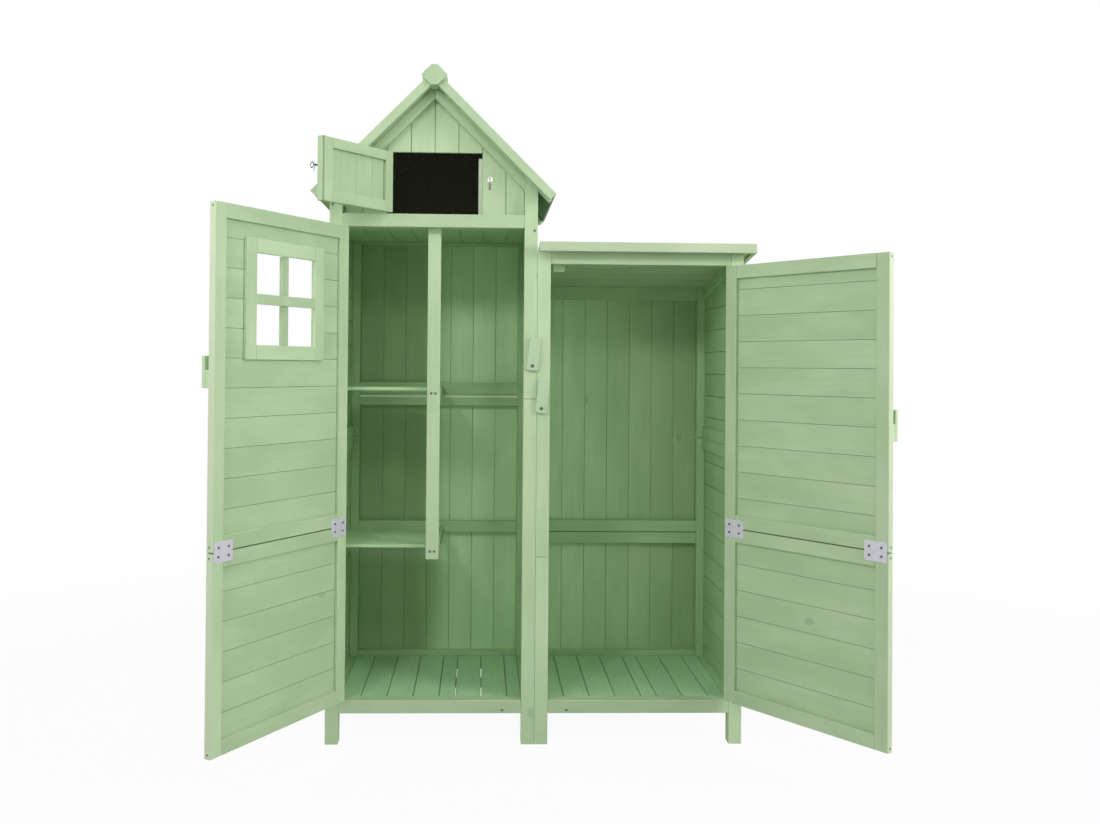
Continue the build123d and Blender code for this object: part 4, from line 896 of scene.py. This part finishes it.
for row in ("tall_left_boards", "partition_boards", "short_right_boards"):
    close_joints(row, "carcass", (0, 0, 1), (0, 1, 0))
for row in ("tall_back_boards", "short_back_boards"):
    close_joints(row, "carcass", (1, 0, 0), (0, 0, 1), material=back_tongue_wood)
for row in ("gable_front_boards", "gable_back_boards"):
    close_joints(row, "carcass", (1, 0, 0), (0, 0, 1))
for row in ("loft_floor_boards", "short_floor_boards"):
    close_joints(row, "carcass", (1, 0, 0), (0, 1, 0))
close_joints("tall_floor_boards", "carcass", (1, 0, 0), (0, 1, 0), TALL_FLOOR_GAPS)
close_joints("roof_right_boards", "carcass", (cos(GABLE_SLOPE), 0, -sin(GABLE_SLOPE)), (0, 1, 0))
close_joints("roof_left_boards", "carcass", (-cos(GABLE_SLOPE), 0, -sin(GABLE_SLOPE)), (0, 1, 0))
close_joints("flat_roof_boards", "carcass", (0, cos(PENT_SLOPE), -sin(PENT_SLOPE)), (1, 0, 0))
for row in ("upper_shelf", "lower_shelf"):
    close_joints(row, "carcass", (0, 1, 0), (1, 0, 0))
close_joints("tall_door_boards", "tall_door", UP, tall_along)
close_joints("short_door_boards", "short_door", UP, short_along)
close_joints("loft_door_boards", "loft_door", loft_along, UP)
carcass_screw_heads()
joining_plates("tall_door", tall_hinge, tall_along, tall_inward)
joining_plates("short_door", short_hinge, short_along, short_inward)
hasp_arm()
staple_on_plate()
edge_screws("tall_door", tall_hinge, tall_along, tall_inward, TALL_DOOR_HEAD)
edge_screws("short_door", short_hinge, short_along, short_inward, SHORT_DOOR_HEAD)


# Studio: white floor that keeps a faint shadow, white surroundings, soft light from all round
AMBIENT = 0.47
LIGHT_AIM = Vector((-0.1, 0.0, 1.0))
FLOOR_HALF = 20.0
FLOOR_WHITE = 0.95
FLOOR_FADE = (1.6, 3.4)
# Place, width and power of each square soft box
LIGHTS = {
    "right_light": ((2.3, -1.3, 1.7), 1.2, 38),
    "left_light": ((-2.3, -1.3, 1.7), 1.2, 18.2),
    "front_light": ((0.0, -2.2, 2.28), 0.3, 5.8),
    "front_left_light": ((-1.05, -1.75, 2.1), 0.3, 7.6),
    "top_light": ((0.0, -0.9, 4.2), 2.0, 12),
    "back_right_light": ((2.3, 2.6, 2.5), 2.0, 20),
    "back_left_light": ((-2.3, 2.6, 2.5), 2.0, 20),
}


def seen_clear(finish):
    """1 for what the eye, a mirror or a clear pane shows, 0 for light that reaches a surface."""
    kinds = ("Is Camera Ray", "Is Glossy Ray", "Is Transmission Ray")
    eye, mirror, pane = [finish.add("ShaderNodeLightPath", None, None, kind) for kind in kinds]
    return eye.math("MAXIMUM", eye.math("MAXIMUM", eye, mirror), pane)


def white_floor():
    """Floor that the camera sees as white, a little darker where the shed shades it."""
    finish = Finish(bpy.data.materials.new("white_floor"))
    paint = finish.add("ShaderNodeBsdfDiffuse", None, {"Color": FLOOR_PAINT})
    glow = finish.add("ShaderNodeEmission", None, {"Color": WHITE, "Strength": 1.0})
    spot = finish.add("ShaderNodeTexCoord", None, None, "Object")
    distance = finish.add("ShaderNodeVectorMath", {"operation": "LENGTH"}, {0: spot}, "Value")
    share = FLOOR_WHITE + distance.ramp(*FLOOR_FADE) * (1 - FLOOR_WHITE)
    shader = finish.add("ShaderNodeMixShader", None, {0: seen_clear(finish) * share, 1: paint, 2: glow})
    finish.add("ShaderNodeOutputMaterial", None, {"Surface": shader})
    return finish.owner


def make_floor():
    """Large flat floor under the feet."""
    mesh = bpy.data.meshes.new("floor")
    half = FLOOR_HALF
    corners = [(-half, -half, 0), (half, -half, 0), (half, half, 0), (-half, half, 0)]
    mesh.from_pydata(corners, [], [(0, 1, 2, 3)])
    mesh.materials.append(white_floor())
    floor = bpy.data.objects.new("floor", mesh)
    bpy.context.scene.collection.objects.link(floor)


def make_world():
    """White surroundings to the eye, and an even soft light on the shed."""
    finish = Finish(bpy.data.worlds.new("studio"))
    soft = finish.add("ShaderNodeBackground", None, {"Color": STUDIO_WHITE, "Strength": AMBIENT})
    white = finish.add("ShaderNodeBackground", None, {"Color": WHITE, "Strength": 1.0})
    shader = finish.add("ShaderNodeMixShader", None, {0: seen_clear(finish), 1: soft, 2: white})
    finish.add("ShaderNodeOutputWorld", None, {"Surface": shader})
    bpy.context.scene.world = finish.owner


def soft_light(name, place, size, power):
    """Square soft box at a place, aimed at the shed."""
    data = bpy.data.lights.new(name, "AREA")
    data.shape = "SQUARE"
    data.size = size
    data.energy = power
    lamp = bpy.data.objects.new(name, data)
    lamp.location = place
    lamp.rotation_euler = (LIGHT_AIM - lamp.location).to_track_quat("-Z", "Y").to_euler()
    bpy.context.scene.collection.objects.link(lamp)


make_floor()
make_world()
for name, (place, size, power) in LIGHTS.items():
    soft_light(name, place, size, power)

# Camera: looks nearly square at the front from a little left of the seam; pixels give its length and framing
FOCAL = 1036.1
PICTURE = (1100.0, 824.0)
AXIS_AT = (510.7, 356.0)
SENSOR = 36.0
CAMERA_AT = (-128.8 * MM, -2707.0 * MM, 977.1 * MM)
CAMERA_TURN = radians(-1.653)
CAMERA_TILT = radians(90.595)
CAMERA_ROLL = radians(0.461)
camera_data = bpy.data.cameras.new("camera")
camera_data.sensor_width = SENSOR
camera_data.lens = SENSOR * FOCAL / PICTURE[0]
camera_data.shift_x = (PICTURE[0] / 2 - AXIS_AT[0]) / PICTURE[0]
camera_data.shift_y = (AXIS_AT[1] - PICTURE[1] / 2) / PICTURE[0]
camera = bpy.data.objects.new("camera", camera_data)
camera.matrix_world = (
    Matrix.Translation(CAMERA_AT)
    @ Matrix.Rotation(CAMERA_TURN, 4, "Z")
    @ Matrix.Rotation(CAMERA_TILT, 4, "X")
    @ Matrix.Rotation(CAMERA_ROLL, 4, "Z")
)
bpy.context.scene.collection.objects.link(camera)
bpy.context.scene.camera = camera
bpy.context.scene.view_settings.view_transform = "Standard"
